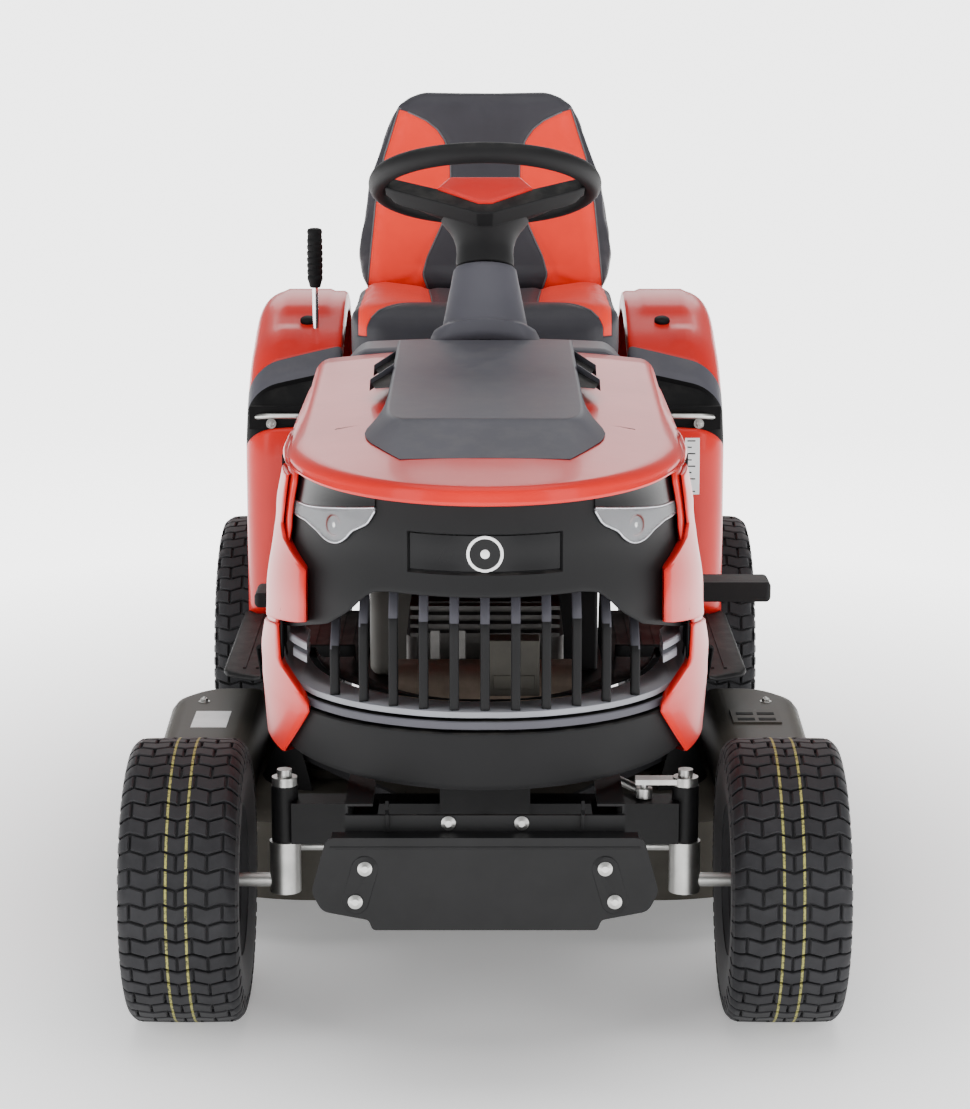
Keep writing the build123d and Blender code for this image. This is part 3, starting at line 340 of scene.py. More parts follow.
def addTurned(bm, outline, place, segments=48, material=0, closed=True, start=0.0, sweep=2 * pi):
    # outline points are (radius, height along the axis)
    full = sweep > 6.28
    count = segments if full else segments + 1
    rows = []
    for index in range(count):
        angle = start + sweep * index / segments
        rows.append([place @ Vector((r * cos(angle), r * sin(angle), h)) for r, h in outline])
    if full:
        rows.append(rows[0])
    return addGrid(bm, rows, closeAcross=closed, material=material)


def addRod(bm, start, end, radius, segments=16, material=0, edge=0.0):
    # a round bar with slightly broken ends
    start, end = Vector(start), Vector(end)
    length = (end - start).length
    bite = edge or radius * 0.15
    outline = [(0, 0), (radius - bite, 0), (radius, bite), (radius, length - bite), (radius - bite, length),
               (0, length)]
    side = (1, 0, 0) if abs((end - start).normalized().x) < 0.9 else (0, 0, 1)
    addTurned(bm, outline, frameAt(start, end - start, side), segments, material, closed=False)


def addTube(bm, points, radius, segments=12, material=0, cap=True):
    # a round bar along a run of points, with the section carried along
    points = [Vector(p) for p in points]
    rows = []
    side = Vector((1, 0, 0)) if abs((points[1] - points[0]).normalized().x) < 0.9 else Vector((0, 0, 1))
    for index, point in enumerate(points):
        ahead = (points[min(index + 1, len(points) - 1)] - points[max(index - 1, 0)]).normalized()
        side = (side - ahead * side.dot(ahead)).normalized()
        up = ahead.cross(side)
        size = radius[index] if isinstance(radius, (list, tuple)) else radius
        rows.append([point + (side * cos(2 * pi * k / segments) + up * sin(2 * pi * k / segments)) * size
                     for k in range(segments)])
    addGrid(bm, rows, closeAcross=True, material=material, cap=cap)


def bentPath(points, radius, count=5):
    # corners of a run of points eased into arcs
    points = [Vector(p) for p in points]
    path = [points[0]]
    for before, here, after in zip(points, points[1:], points[2:]):
        reach = min(radius, (before - here).length * 0.48, (after - here).length * 0.48)
        first = here + (before - here).normalized() * reach
        last = here + (after - here).normalized() * reach
        for t in steps(0, 1, count):
            path.append(first * (1 - t) ** 2 + here * 2 * t * (1 - t) + last * t * t)
    return path + [points[-1]]


def addBlock(bm, low, high, material=0, place=None):
    corners = [Vector((x, y, z)) for z in (low[2], high[2]) for y in (low[1], high[1])
               for x in (low[0], high[0])]
    if place:
        corners = [place @ c for c in corners]
    v = [bm.verts.new(c) for c in corners]
    for ring in ((0, 2, 3, 1), (4, 5, 7, 6), (0, 1, 5, 4), (2, 6, 7, 3), (0, 4, 6, 2), (1, 3, 7, 5)):
        bm.faces.new([v[i] for i in ring]).material_index = material


def addBolt(bm, centre, along, radius, height, kind="hex", material=0):
    # a hexagon head on a washer, or a domed carriage head
    place = frameAt(centre, along, (0.3, 0.5, 0.8))
    addTurned(bm, [(0, 0), (radius * 1.5, 0), (radius * 1.55, height * 0.12), (radius * 1.5, height * 0.22),
                   (0, height * 0.22)],
              place, 20, material, closed=False)
    if kind == "dome":
        outline = [(radius * cos(a), height * (0.22 + 0.78 * sin(a))) for a in steps(0, pi / 2 - 0.05, 5)]
        addTurned(bm, outline + [(0, height)], place, 20, material, closed=False)
    else:
        outline = [(radius, height * 0.2), (radius, height * 0.88), (radius * 0.86, height), (0, height)]
        addTurned(bm, outline, place, 6, material, closed=False)
        addTurned(bm, [(radius * 0.45, height), (radius * 0.45, height * 1.2),
                       (radius * 0.35, height * 1.3), (0, height * 1.3)],
                  place, 12, material, closed=False)


def tint(node, material):
    # a new finish on a frame piece whose shape is right
    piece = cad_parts[node]
    for holder in piece.material_slots:
        holder.material = material


# camera, light and floor

def setStage():
    camera = bpy.data.cameras.new("camera")
    camera.sensor_width, camera.lens = 36, 95.53
    camera.sensor_fit = "AUTO"
    camera.clip_start, camera.clip_end = 0.1, 1000
    eye = bpy.data.objects.new("camera", camera)
    eye.location = (0, -4.370, 1.392)
    eye.rotation_euler = (radians(90 - 11.25), 0, 0)
    bpy.context.scene.collection.objects.link(eye)
    bpy.context.scene.camera = eye

    world = bpy.data.worlds.new("studio")
    bpy.context.scene.world = world
    world.use_nodes = True
    world.node_tree.nodes["Background"].inputs[0].default_value = (1, 1, 1, 1)
    world.node_tree.nodes["Background"].inputs[1].default_value = 0.38

    def lamp(name, place, aim, size, power):
        light = bpy.data.lights.new(name, "AREA")
        light.shape, light.size, light.size_y, light.energy = "RECTANGLE", size[0], size[1], power
        holder = bpy.data.objects.new(name, light)
        holder.location = place
        holder.rotation_euler = (Vector(aim) - Vector(place)).to_track_quat("-Z", "Y").to_euler()
        bpy.context.scene.collection.objects.link(holder)

    lamp("lampTop", (0.0, -0.6, 3.6), (0, 0, 0.3), (3.2, 3.2), 66)
    lamp("lampLeft", (3.0, -2.6, 1.9), (0, 0, 0.5), (1.4, 2.4), 36)
    lamp("lampRight", (-3.0, -2.6, 1.9), (0, 0, 0.5), (1.4, 2.4), 36)
    lamp("lampFront", (0.0, -5.2, 0.9), (0, 0, 0.45), (3.0, 1.0), 25)
    lamp("lampBack", (0.0, 3.6, 2.2), (0, 0, 0.6), (3.0, 1.6), 44)

    bm = bmesh.new()
    bmesh.ops.create_grid(bm, x_segments=2, y_segments=2, size=400)
    mesh = bpy.data.meshes.new("floor")
    bm.to_mesh(mesh)
    bm.free()
    floor = bpy.data.objects.new("floor", mesh)
    bpy.context.scene.collection.objects.link(floor)
    # white paper that glows, strongly away from the machine and faintly near it: a painted shadow round the
    # machine
    g = Graph("floorGlowWithPaintedShadow", {"Roughness": 0.9, "Specular IOR Level": 0.1, "Emission Strength": 1.0})
    x, y = g.parts(g.place())[:2]
    away = ((x * x + (y * 0.75) * (y * 0.75)) ** 0.5).ramp(0.50, 2.1)
    mesh.materials.append(g.end(Base_Color=(0.92, 0.92, 0.92),
                                Emission_Color=g.blend(away, (0.26, 0.26, 0.26), (3.6, 3.6, 3.6))))


setStage()
print("camera, lamps and floor set")


# hood: painted shell

hood = {
    "halfWidth": [(0.400, .288), (0.480, .295), (0.520, .295), (0.610, .288), (0.700, .272), (0.770, .262),
                  (0.793, .253)],
    "nose": 0.380, "noseCentre": -0.520, "rear": -0.020,
    "lipHeight": 0.757,
    "lower": [(-0.760, 0.412), (-0.640, 0.452), (-0.020, 0.500)],
    "ridge": [(-0.900, 0.780), (-0.735, 0.792), (-0.020, 0.838)],
}


def halfWidth(z):
    return eased(hood["halfWidth"], z) if z > 0.52 else between(hood["halfWidth"], z)


def planPoint(turn, z, out=0.0):
    # one point of the hood's plan: an ellipse round the nose, straight flanks behind it
    half = halfWidth(z) + out
    reach = hood["nose"] * (halfWidth(z) / 0.292) ** 0.35 + out
    if turn <= pi / 2:
        return Vector((half * sin(turn), hood["noseCentre"] - reach * cos(turn), z))
    return Vector((half, hood["noseCentre"] + (turn - pi / 2), z))


def skin(x, z, out=0.0):
    # the point of the nose at a given sideways place and height, on a surface held in or out
    half = halfWidth(z) + out
    turn = asin(max(-0.999, min(0.999, x / half)))
    reach = hood["nose"] * (halfWidth(z) / 0.292) ** 0.35 + out
    return Vector((x, hood["noseCentre"] - reach * cos(turn), z))


def hoodTurns():
    # where the plan is cut: closer together round the corner
    nose = [pi / 2 * t for t in steps(0, 1, 30)]
    flank = [pi / 2 + (hood["rear"] - hood["noseCentre"]) * t for t in steps(0, 1, 14)][1:]
    return nose + flank


def topHeight(x, y):
    # the lid: falls to the nose and is slightly crowned across
    ridge = between(hood["ridge"], y)
    return ridge - 0.012 * (x / 0.25) ** 2


def hoodShell():
    bm = bmesh.new()
    turns = hoodTurns()
    band = []
    for turn in turns:
        place = planPoint(turn, 0.770)
        nose = max(0.0, cos(min(turn, pi / 2)))
        rise = topHeight(place.x, place.y)
        radius = 0.008 + 0.020 * (1 - nose)
        lift = 0.014 * (1 - nose) ** 2
        low = hood["lipHeight"] + lift
        column = []
        for z, out in ((low + 0.001, -0.016), (low, -0.004), (low + 0.0012, 0.0006), (low + 0.004, 0.002)):
            column.append(planPoint(turn, z, out))
        top = rise - radius
        for t in steps(0, 1, 5)[1:]:
            z = low + 0.004 + (top - low - 0.004) * t
            column.append(planPoint(turn, z, 0.002 - 0.002 * t))
        for a in steps(0, pi / 2, 7)[1:]:
            z = top + radius * sin(a)
            column.append(planPoint(turn, z, -radius * (1 - cos(a))))
        band.append((column, turn))
    rows = []
    for column, turn in band:
        edge = column[-1]
        inner = Vector((0, min(edge.y + 0.10, -0.02) if turn < pi / 2 else edge.y, 0))
        for t in (0.12, 0.26, 0.42, 0.6, 0.8, 1.0):
            x = edge.x * (1 - t)
            y = edge.y + (inner.y - edge.y) * t
            column.append(Vector((x, y, 0)))
            base = topHeight(edge.x, edge.y) - edge.z
            column[-1].z = topHeight(x, y) - base * (1 - t) ** 2
        rows.append(column)
    addGrid(bm, rows)
    mirrored(bm)
    tidy(bm, outward=False, merge=0.0003)
    piece = newObject("hoodLid", bm, paint["red"], "hood", 40)
    thicken(piece, 0.003)
    return piece


def flankPanel():
    # the painted side below the lip, from the nose's cheek back to the cowl
    bm = bmesh.new()
    rows = []
    for turn in [1.19 + (pi / 2 - 1.19) * t for t in steps(0, 1, 8)] + hoodTurns()[31:]:
        place = planPoint(turn, 0.6)
        low = between(hood["lower"], place.y)
        nose = max(0.0, cos(min(turn, pi / 2)))
        high = hood["lipHeight"] + 0.014 * (1 - nose) ** 2 - 0.0015
        rows.append([planPoint(turn, low + (high - low) * t, -0.003) for t in steps(0, 1, 22)])
    addGrid(bm, rows)
    mirrored(bm)
    tidy(bm, outward=False)
    piece = newObject("hoodFlanks", bm, paint["red"], "hood", 40)
    thicken(piece, 0.003)
    return piece


lid = hoodShell()
flankPanel()
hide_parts("hood_shell")
print("hood shell made")


# nose: cheeks, mask, lamps, grille

nose = {
    # the cheeks' inner edge, sideways place against height
    "cheekInner": [(0.400, 0.2585), (0.474, 0.2205), (0.484, 0.2215), (0.492, 0.2270), (0.520, 0.2560),
                   (0.530, 0.2610),
                   (0.580, 0.2640), (0.584, 0.2560), (0.587, 0.2240), (0.652, 0.2240), (0.674, 0.2540),
                   (0.690, 0.2600), (0.754, 0.2520)],
    "cheekProud": 0.004, "cheekWall": 0.012, "cheekEdge": 0.0028,
    "recess": -0.012, "chinLow": 0.403, "browHigh": 0.764,
    "grilleTop": [(-0.265, 0.556), (-0.226, 0.576), (-0.197, 0.588), (-0.1685, 0.611), (-0.150, 0.632),
                  (-0.138, 0.6405),
                  (-0.120, 0.6440), (0.120, 0.6440), (0.138, 0.6405), (0.150, 0.632), (0.1685, 0.611),
                  (0.197, 0.588),
                  (0.226, 0.576), (0.265, 0.556)],
    "sill": [(-0.264, 0.550), (-0.2615, 0.534), (-0.257, 0.519), (-0.249, 0.508), (-0.236, 0.5025),
             (-0.215, 0.5005),
             (-0.180, 0.5010), (-0.100, 0.5030), (0.0, 0.5045), (0.100, 0.5030), (0.180, 0.5010),
             (0.215, 0.5005),
             (0.236, 0.5025), (0.249, 0.508), (0.257, 0.519), (0.2615, 0.534), (0.264, 0.550)],
    "badgeHalf": 0.092, "badge": (0.6740, 0.7205), "badgeRing": 0.0225,
    "barPitch": 0.0376, "barWidth": 0.0115, "barCount": 11,
    "lampTop": [(0.134, 0.7450), (0.160, 0.7400), (0.186, 0.7345), (0.225, 0.7250), (0.257, 0.7205)],
    "lampFoot": [(0.134, 0.7425), (0.1445, 0.7240), (0.1645, 0.7116), (0.1725, 0.7005), (0.181, 0.6935),
                 (0.189, 0.6910),
                 (0.197, 0.6918), (0.2015, 0.6935), (0.2125, 0.7011), (0.2275, 0.7068), (0.257, 0.7060)],
    "lampCentre": (0.1885, 0.7125), "lampRadius": 0.0130,
}


def cheekPlate(low, high, count):
    # one crisp-edged raised plate on the nose's side, its inner edge as in the table
    edge = nose["cheekEdge"]
    rows = []
    for z in ([low, low + edge * 0.35, low + edge] + steps(low + edge, high - edge, count)[1:]
              + [high - edge * 0.35, high]):
        inner = between(nose["cheekInner"], z)
        half = halfWidth(z)
        first, last = asin(min(0.999, inner / half)), pi / 2 + 0.03
        at = min(z - low, high - z)
        fall = edge * (1 - sqrt(max(0.0, 1 - (1 - min(1, at / edge)) ** 2)))
        out = nose["cheekProud"] - fall
        sunkTurn = asin(min(0.9995, inner / (half - nose["cheekWall"])))
        row = [planPoint(sunkTurn, z, -nose["cheekWall"]), planPoint(first, z, out - edge * 1.1),
               planPoint(first + 0.002, z, out - edge * 0.35), planPoint(first + edge / half, z, out)]
        for t in steps(0, 1, 16)[1:]:
            ahead = first + edge / half + (last - first - edge / half) * t
            row.append(planPoint(ahead, z, out - (out + 0.0015) * max(0, (t - 0.55) / 0.45) ** 2))
        rows.append(row)

    def sunk(row, drop):
        # the plate's own top or bottom edge, turned in
        return [p + Vector((-0.012 * p.x / 0.29, 0.010, drop)) for p in row]

    bm = bmesh.new()
    addGrid(bm, [sunk(rows[0], 0.001)] + rows + [sunk(rows[-1], -0.001)])
    mirrored(bm)
    return tidy(bm, outward=False)


for name, low, high, wave in (("hoodCheekLower", 0.4005, 0.5800, 1), ("hoodCheekUpper", 0.5850, 0.7530, -1)):
    bm = cheekPlate(low, high, 54)
    # the gap between the two falls towards the flanks
    for vert in bm.verts:
        z = vert.co.z
        near = min(1, max(0, (z - 0.500) / 0.080)) if wave > 0 else min(1, max(0, (0.672 - z) / 0.087))
        vert.co.z -= 0.155 * max(0, vert.co.y + 0.762) * near if vert.co.y < -0.50 else 0.0406 * near
    newObject(name, bm, paint["red"], "hood", 40)


def across(limit, count):
    return [limit * sin(pi / 2 * t) for t in steps(-1, 1, count)]


def maskSheets():
    # the brow above the grille: rolls into the opening below, is let in for the badge
    bm = bmesh.new()
    recess = nose["recess"]
    half, (badgeLow, badgeHigh) = nose["badgeHalf"], nose["badge"]
    xs = sorted(across(0.268, 76) + [-half, half, -half - 0.003, half + 0.003])
    heights = sorted(set(steps(0.650, nose["browHigh"], 22)
                         + [badgeLow, badgeLow - 0.0025, badgeHigh, badgeHigh + 0.0015]))
    rows = []
    for x in xs:
        edge = between(nose["grilleTop"], x)
        column = [skin(x, edge + 0.006, recess - 0.040), skin(x, edge + 0.0025, recess - 0.020),
                  skin(x, edge + 0.0003, recess - 0.008), skin(x, edge, recess - 0.004),
                  skin(x, edge + 0.0012, recess - 0.0012), skin(x, edge + 0.004, recess - 0.0002)]
        for z in heights:
            spot = edge + 0.006 + (z - 0.650) * (nose["browHigh"] - edge - 0.006) / (nose["browHigh"] - 0.650)
            if abs(x) <= half + 0.004:
                spot = z
            inside = abs(x) <= half and badgeLow <= z <= badgeHigh
            column.append(skin(x, spot, recess - (0.005 if inside else 0)))
        rows.append(column)
    addGrid(bm, rows)
    return tidy(bm, outward=False)


brow = newObject("maskBrow", maskSheets(), paint["black"], "hood", 32)
thicken(brow, 0.003)


def chinSheets():
    # sill ledge, two mouldings with grooves between, and the deep chin, in one sheet with three finishes
    bm = bmesh.new()
    edge = -0.004
    # the grooves between the mouldings take the darker black: painted shade
    bands = [(-0.058, 0.001, 1), (-0.016, 0.0, 1), (-0.0125, -0.0012, 1), (-0.012, -0.0080, 1),
             (-0.014, -0.0090, 2),
              (-0.021, -0.0095, 2), (-0.021, -0.0115, 2), (-0.0095, -0.0120, 3), (-0.0080, -0.0132, 3),
              (-0.0075, -0.0215, 3), (-0.0095, -0.0225, 2), (-0.018, -0.0230, 2), (-0.018, -0.0255, 2),
              (-0.0070, -0.0260, 0), (edge - 0.0006, -0.0275, 0)]
    rows = []
    for x in across(0.2638, 84):
        top = between(nose["sill"], x)
        column = [skin(x, top + drop, out) for out, drop, _ in bands]
        start = top - 0.030
        for t in steps(0, 1, 14):
            z = start + (nose["chinLow"] + 0.004 - start) * t
            column.append(skin(x, z, edge - 0.006 * t ** 2))
        column += [skin(x, nose["chinLow"] + 0.001, edge - 0.0085), skin(x, nose["chinLow"], edge - 0.013),
                   skin(x, nose["chinLow"] + 0.002, edge - 0.060)]
        rows.append(column)
    addGrid(bm, rows)
    bm.faces.ensure_lookup_table()
    width = len(rows[0]) - 1
    marks = [mark for _, _, mark in bands] + [0] * 40
    for index, face in enumerate(bm.faces):
        face.material_index = marks[index % width]
    return tidy(bm, outward=False)


chin = newObject("maskChin", chinSheets(), [paint["black"], paint["sill"], paint["blackDeepAndShade"], paint["grey"]],
                 "hood", 30)
thicken(chin, 0.003)


def maskShell():
    # the box round the opening, in the darker black as painted shade: its head, its floor and the wall at
    # each side
    bm = bmesh.new()
    rows = []
    for x in across(0.272, 60):
        top = between(nose["grilleTop"], x)
        rows.append([skin(x, top + 0.006, -0.052), skin(x, top + 0.030, -0.110)])
    addGrid(bm, rows)
    rows = [[skin(x, between(nose["sill"], x) + 0.001, -0.070),
             skin(x, between(nose["sill"], x) - 0.012, -0.120)]
            for x in across(0.262, 60)]
    addGrid(bm, rows)
    for side in (-1, 1):
        wall = [[Vector((side * 0.262, y, z)) for z in steps(0.500, 0.590, 8)] for y in (-0.690, -0.600)]
        addGrid(bm, wall)
    return tidy(bm, outward=False)


inner = newObject("maskInner", maskShell(), paint["blackDeepAndShade"], "hood", 40)
thicken(inner, 0.0025)


def sillSlabs():
    bm = bmesh.new()
    for side in (-1, 1):
        for level, reach in ((0.533, 0.246), (0.549, 0.252)):
            rows = []
            for x in steps(0.226, reach, 6):
                rows.append([skin(side * x, level + 0.005, -0.046), skin(side * x, level + 0.005, -0.017),
                             skin(side * x, level + 0.0035, -0.0155), skin(side * x, level - 0.004, -0.0155),
                             skin(side * x, level - 0.005, -0.017), skin(side * x, level - 0.005, -0.046)])
            addGrid(bm, rows, closeAcross=True, cap=True)
    return tidy(bm)


newObject("maskSlabs", sillSlabs(), paint["sill"], "hood", 40)


def grilleBars():
    # upright bars, their tops sloping back, their feet rounded
    bm = bmesh.new()
    half = nose["barWidth"] / 2
    count = nose["barCount"]
    for index in range(count):
        x = (index - (count - 1) / 2) * nose["barPitch"]
        top, foot = between(nose["grilleTop"], x) + 0.004, between(nose["sill"], x) - 0.006
        slope = top - 0.036
        path = [(top, -0.052), (top - 0.012, -0.038), (slope, -0.0155), (slope - 0.004, -0.0135)]
        path += [(slope + (foot + 0.012 - slope) * t, -0.0130) for t in steps(0, 1, 6)[1:]]
        path += [(foot + 0.012 - 0.010 * sin(a), -0.0130 - 0.012 * (1 - cos(a)))
                 for a in steps(0, pi / 2, 5)[1:]]
        rows = []
        for z, out in path:
            front = skin(x, z, out)
            pull = min(0.026, 0.020 + (-0.013 - out) * 0.2)
            section = [(-half, pull), (-half, 0.0020), (-half + 0.0007, 0.0007), (-half + 0.0022, 0.0),
                       (half - 0.0022, 0.0), (half - 0.0007, 0.0007), (half, 0.0020), (half, pull)]
            rows.append([front + Vector((side, back, 0)) for side, back in section])
        addGrid(bm, rows, closeAcross=True, cap=True)
    # the upper, sloping part of each bar is grey: a painted highlight
    for face in bm.faces:
        level = face.calc_center_median().z
        face.material_index = (
            1 if level > between(nose["grilleTop"], face.calc_center_median().x) - 0.031 else 0)
    return tidy(bm, outward=False)


bars = newObject("grilleBars", grilleBars(), [paint["black"], paint["grey"]], "hood", 45)
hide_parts("grille_bars")
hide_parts("front_mask")


def badge():
    # gloss plaque with a thin lower lip, and a plain ring round a plain stud
    bm = bmesh.new()
    half, (low, high) = nose["badgeHalf"] - 0.0006, nose["badge"]
    depth = nose["recess"] - 0.0045
    rows = []
    for x in steps(-half, half, 24):
        rows.append([skin(x, low + 0.0006, depth - 0.002), skin(x, low + 0.0006, depth),
                     skin(x, low + 0.0016, depth + 0.0012)]
                    + [skin(x, low + 0.0016 + (high - low - 0.003) * t, depth + 0.0012)
                       for t in steps(0, 1, 6)[1:]]
                    + [skin(x, high - 0.0006, depth), skin(x, high - 0.0006, depth - 0.002)])
    addGrid(bm, rows)
    middle = (low + high) / 2
    face = frameAt(skin(0, middle, depth + 0.0012), (0, -1, 0))
    ring = nose["badgeRing"]
    addTurned(bm, [(ring, 0), (ring, 0.0010), (ring - 0.0012, 0.0016), (ring - 0.0024, 0.0016),
                   (ring - 0.0036, 0.0010),
                   (ring - 0.0036, 0)], face, 56, 1, closed=False)
    addTurned(bm, [(0, 0.0014), (0.0050, 0.0014), (0.0056, 0.0009), (0.0056, 0)], face, 32, 1, closed=False)
    return tidy(bm, outward=False, merge=0.00001)


newObject("maskBadge", badge(), [paint["gloss"], paint["label"]], "hood", 40)


def lampPatch(out, top, foot, first, last, count, rows=10, dish=None):
    patch = []
    for x in steps(first, last, count):
        high, low = between(top, x), between(foot, x)
        column = []
        for t in steps(0, 1, rows):
            z = low + (high - low) * t
            depth = out
            if dish:
                away = hypot(x - nose["lampCentre"][0], z - nose["lampCentre"][1])
                depth = out + dish(away)
            column.append(skin(x, z, depth))
        patch.append(column)
    return patch


def lamps():
    # each side: bright reflector with a bowl in darker metal as painted shade, a bulb, its gloss surround and
    # a clear cover
    bm = bmesh.new()
    radius = nose["lampRadius"]

    def bowl(away):
        return -0.016 * (1 - min(1, away / radius) ** 2) ** 0.5 if away < radius else 0.0

    addGrid(bm, lampPatch(-0.0135, nose["lampTop"], nose["lampFoot"], 0.135, 0.2555, 56, 22, bowl))
    cx, cz = nose["lampCentre"]
    hub = skin(cx, cz, -0.0135)
    for face in bm.faces:
        spot = face.calc_center_median()
        if hypot(spot.x - hub.x, spot.z - hub.z) < radius * 0.97:
            face.material_index = 4
    lip = [(0.134, 0.7570), (0.200, 0.7630), (0.240, 0.7690), (0.262, 0.7720)]
    shelf = [(x, z + 0.0015) for x, z in nose["lampTop"]]
    addGrid(bm, lampPatch(-0.0100, lip, shelf, 0.135, 0.2600, 30, 4), material=1)
    x, z = nose["lampCentre"]
    turn = asin(x / halfWidth(z))
    out = Vector((sin(turn), -cos(turn), 0))
    centre = skin(x, z, -0.0115)
    place = frameAt(centre, out)
    addTurned(bm, [(radius + 0.0012, -0.001), (radius + 0.0008, 0.0012), (radius - 0.0006, 0.0016),
                   (radius - 0.0016, 0.0002)],
              place, 40, 2, closed=False)
    addTurned(bm, [(0.0058, -0.018), (0.0058, -0.005), (0.0046, -0.0018), (0.0022, 0.0002), (0, 0.0006)],
              place, 24, 3, closed=False)
    # the bright frame round the reflector
    outline = [skin(x, between(nose["lampFoot"], x), -0.0100) for x in steps(0.135, 0.2555, 30)]
    outline += [skin(x, between(nose["lampTop"], x), -0.0100) for x in steps(0.2555, 0.135, 24)]
    addTube(bm, outline, 0.0016, 8, 0, cap=False)
    mirrored(bm)
    return tidy(bm, outward=False, merge=0.00001)


lampBody = newObject("headlampBody", lamps(),
                     [paint["reflector"], paint["gloss"], paint["amber"], paint["bulb"], paint["bowl"]],
                     "hood", 50)
bm = bmesh.new()
addGrid(bm, lampPatch(-0.0085, nose["lampTop"], nose["lampFoot"], 0.135, 0.2555, 30, 8))
mirrored(bm)
lampCover = newObject("headlampCover", tidy(bm, outward=False), paint["lens"], "hood", 60)
thicken(lampCover, 0.0012)
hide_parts("headlights")
print("nose made")


# scoop on the lid and its side fins

scoop = {
    # pairs: top edge and foot, each (sideways, along)
    "loop": [((0.1290, -0.021), (0.1310, -0.021)), ((0.1300, -0.300), (0.1325, -0.300)),
             ((0.1305, -0.430), (0.1340, -0.430)),
             ((0.1305, -0.480), (0.1430, -0.490)), ((0.1300, -0.535), (0.1550, -0.545)),
             ((0.1285, -0.570), (0.1572, -0.575)),
             ((0.1240, -0.596), (0.1540, -0.603)), ((0.1160, -0.613), (0.1480, -0.628)),
             ((0.1070, -0.6185), (0.1280, -0.682)),
             ((0.1040, -0.6190), (0.1070, -0.733)), ((0.0, -0.6200), (0.0, -0.736))],
    "height": [(-0.735, 0.812), (-0.620, 0.8225), (-0.021, 0.8505)],
    "front": -0.6160, "rear": -0.021,
    "edge": [(0.021, 0.1290), (0.300, 0.1300), (0.535, 0.1300), (0.570, 0.1285), (0.596, 0.1240),
             (0.613, 0.1160), (0.6185, 0.1070)],
}


def scoopSheet():
    # the flat top as its own grid, the skirt round it, and a soft edge between them
    bm = bmesh.new()
    front, rear = scoop["front"], scoop["rear"]
    rows = []
    for y in steps(rear, front, 40):
        edge = between(scoop["edge"], -y) - 0.0045
        rows.append([Vector((edge * t, y, between(scoop["height"], y) + 0.0012)) for t in steps(-1, 1, 24)])
    addGrid(bm, rows)
    rows = []
    for (tx, ty), (fx, fy) in scoop["loop"]:
        top = Vector((tx, ty, between(scoop["height"], ty)))
        foot = Vector((fx, fy, topHeight(fx, fy) + 0.0006))
        slope = foot - top
        column = [foot - Vector((0, 0, 0.006)) + Vector((-0.003 if fx else 0, 0.003, 0)), foot,
                  foot - slope * 0.03]
        column += [foot - slope * t for t in (0.25, 0.5, 0.75, 0.93)]
        inward = Vector((-1 if tx > 0.105 else 0, 0.9 if ty < -0.59 else 0, 0))
        column += [top + inward * 0.0012 + Vector((0, 0, 0.0002)),
                   top + inward * 0.0030 + Vector((0, 0, 0.0010)),
                   top + inward * 0.0055 + Vector((0, 0, 0.0012))]
        rows.append(column)
    before = len(bm.verts)
    addGrid(bm, rows)
    bm.verts.ensure_lookup_table()
    skirt = bm.verts[before:]
    copy = bmesh.ops.duplicate(bm, geom=skirt + [f for f in bm.faces if f.verts[0] in set(skirt)])["geom"]
    for vert in (v for v in copy if isinstance(v, bmesh.types.BMVert)):
        vert.co.x = -vert.co.x
    bmesh.ops.recalc_face_normals(bm, faces=bm.faces)
    return bm


scoopPiece = newObject("hoodScoop", scoopSheet(), paint["grey"], "hood", 28)
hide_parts("hood_scoop")


def scoopFins():
    # two slanted fins each side, under the scoop's top edge, with dark sheets between them as painted shade
    bm = bmesh.new()
    for rear in (-0.085, -0.235):
        first = [(0.129, rear, 0.845), (0.158, rear - 0.115, 0.8385)]
        rows = []
        for (x, y, z) in first:
            rows.append([Vector((x, y, z)), Vector((x, y - 0.004, z)),
                         Vector((x + 0.001, y - 0.004, z - 0.016)), Vector((x + 0.001, y, z - 0.016))])
        addGrid(bm, rows, closeAcross=True, cap=True)
        # dark sheets between the fins: painted shade in the opening
        shadeSheets = [[Vector((0.128, rear - 0.004, 0.836)), Vector((0.128, rear - 0.150, 0.832))],
                [Vector((0.157, rear - 0.112, 0.8320)), Vector((0.150, rear - 0.150, 0.8300))]]
        addGrid(bm, shadeSheets, material=1)
    mirrored(bm)
    return tidy(bm, outward=False)


newObject("hoodScoopFins", scoopFins(), [paint["grey"], paint["blackDeepAndShade"]], "hood", 30)
print("scoop made")


# steering wheel, hub and column

wheel = {
    "centre": (0, 0.130, 1.070), "axis": (0, sin(radians(21)), cos(radians(21))),
    "ring": 0.162, "grip": 0.0162, "seams": (0.36, -0.36),
    "padOrigin": (0, 0.088, 1.0615), "padNormal": (0, -0.46, 0.89),
    "pad": [(-0.072, 0.004), (-0.054, 0.034), (0.054, 0.034), (0.072, 0.004), (0.010, -0.036),
            (-0.010, -0.036)],
}


def columnPlace(height):
    spot = Vector(wheel["centre"]) + Vector(wheel["axis"]) * height
    return frameAt(spot, wheel["axis"])


def steeringRing():
    # the grip is a little flattened, thicker where the hands go, with moulded joints
    bm = bmesh.new()
    place = columnPlace(0)
    rows = []
    count = 96
    for index in range(count):
        turn = 2 * pi * index / count
        size = wheel["grip"] * (1 + 0.035 * cos(2 * turn))
        seam = min(abs(((turn - pi / 2 - s) + pi) % (2 * pi) - pi) for s in wheel["seams"])
        size -= 0.0011 if seam < 0.025 else 0
        ring = []
        for k in range(20):
            a = 2 * pi * k / 20
            r = wheel["ring"] + size * cos(a) * 0.92
            ring.append(place @ Vector((r * cos(turn), -r * sin(turn), size * sin(a))))
        rows.append(ring)
    rows.append(rows[0])
    addGrid(bm, rows, closeAcross=True)
    return tidy(bm)


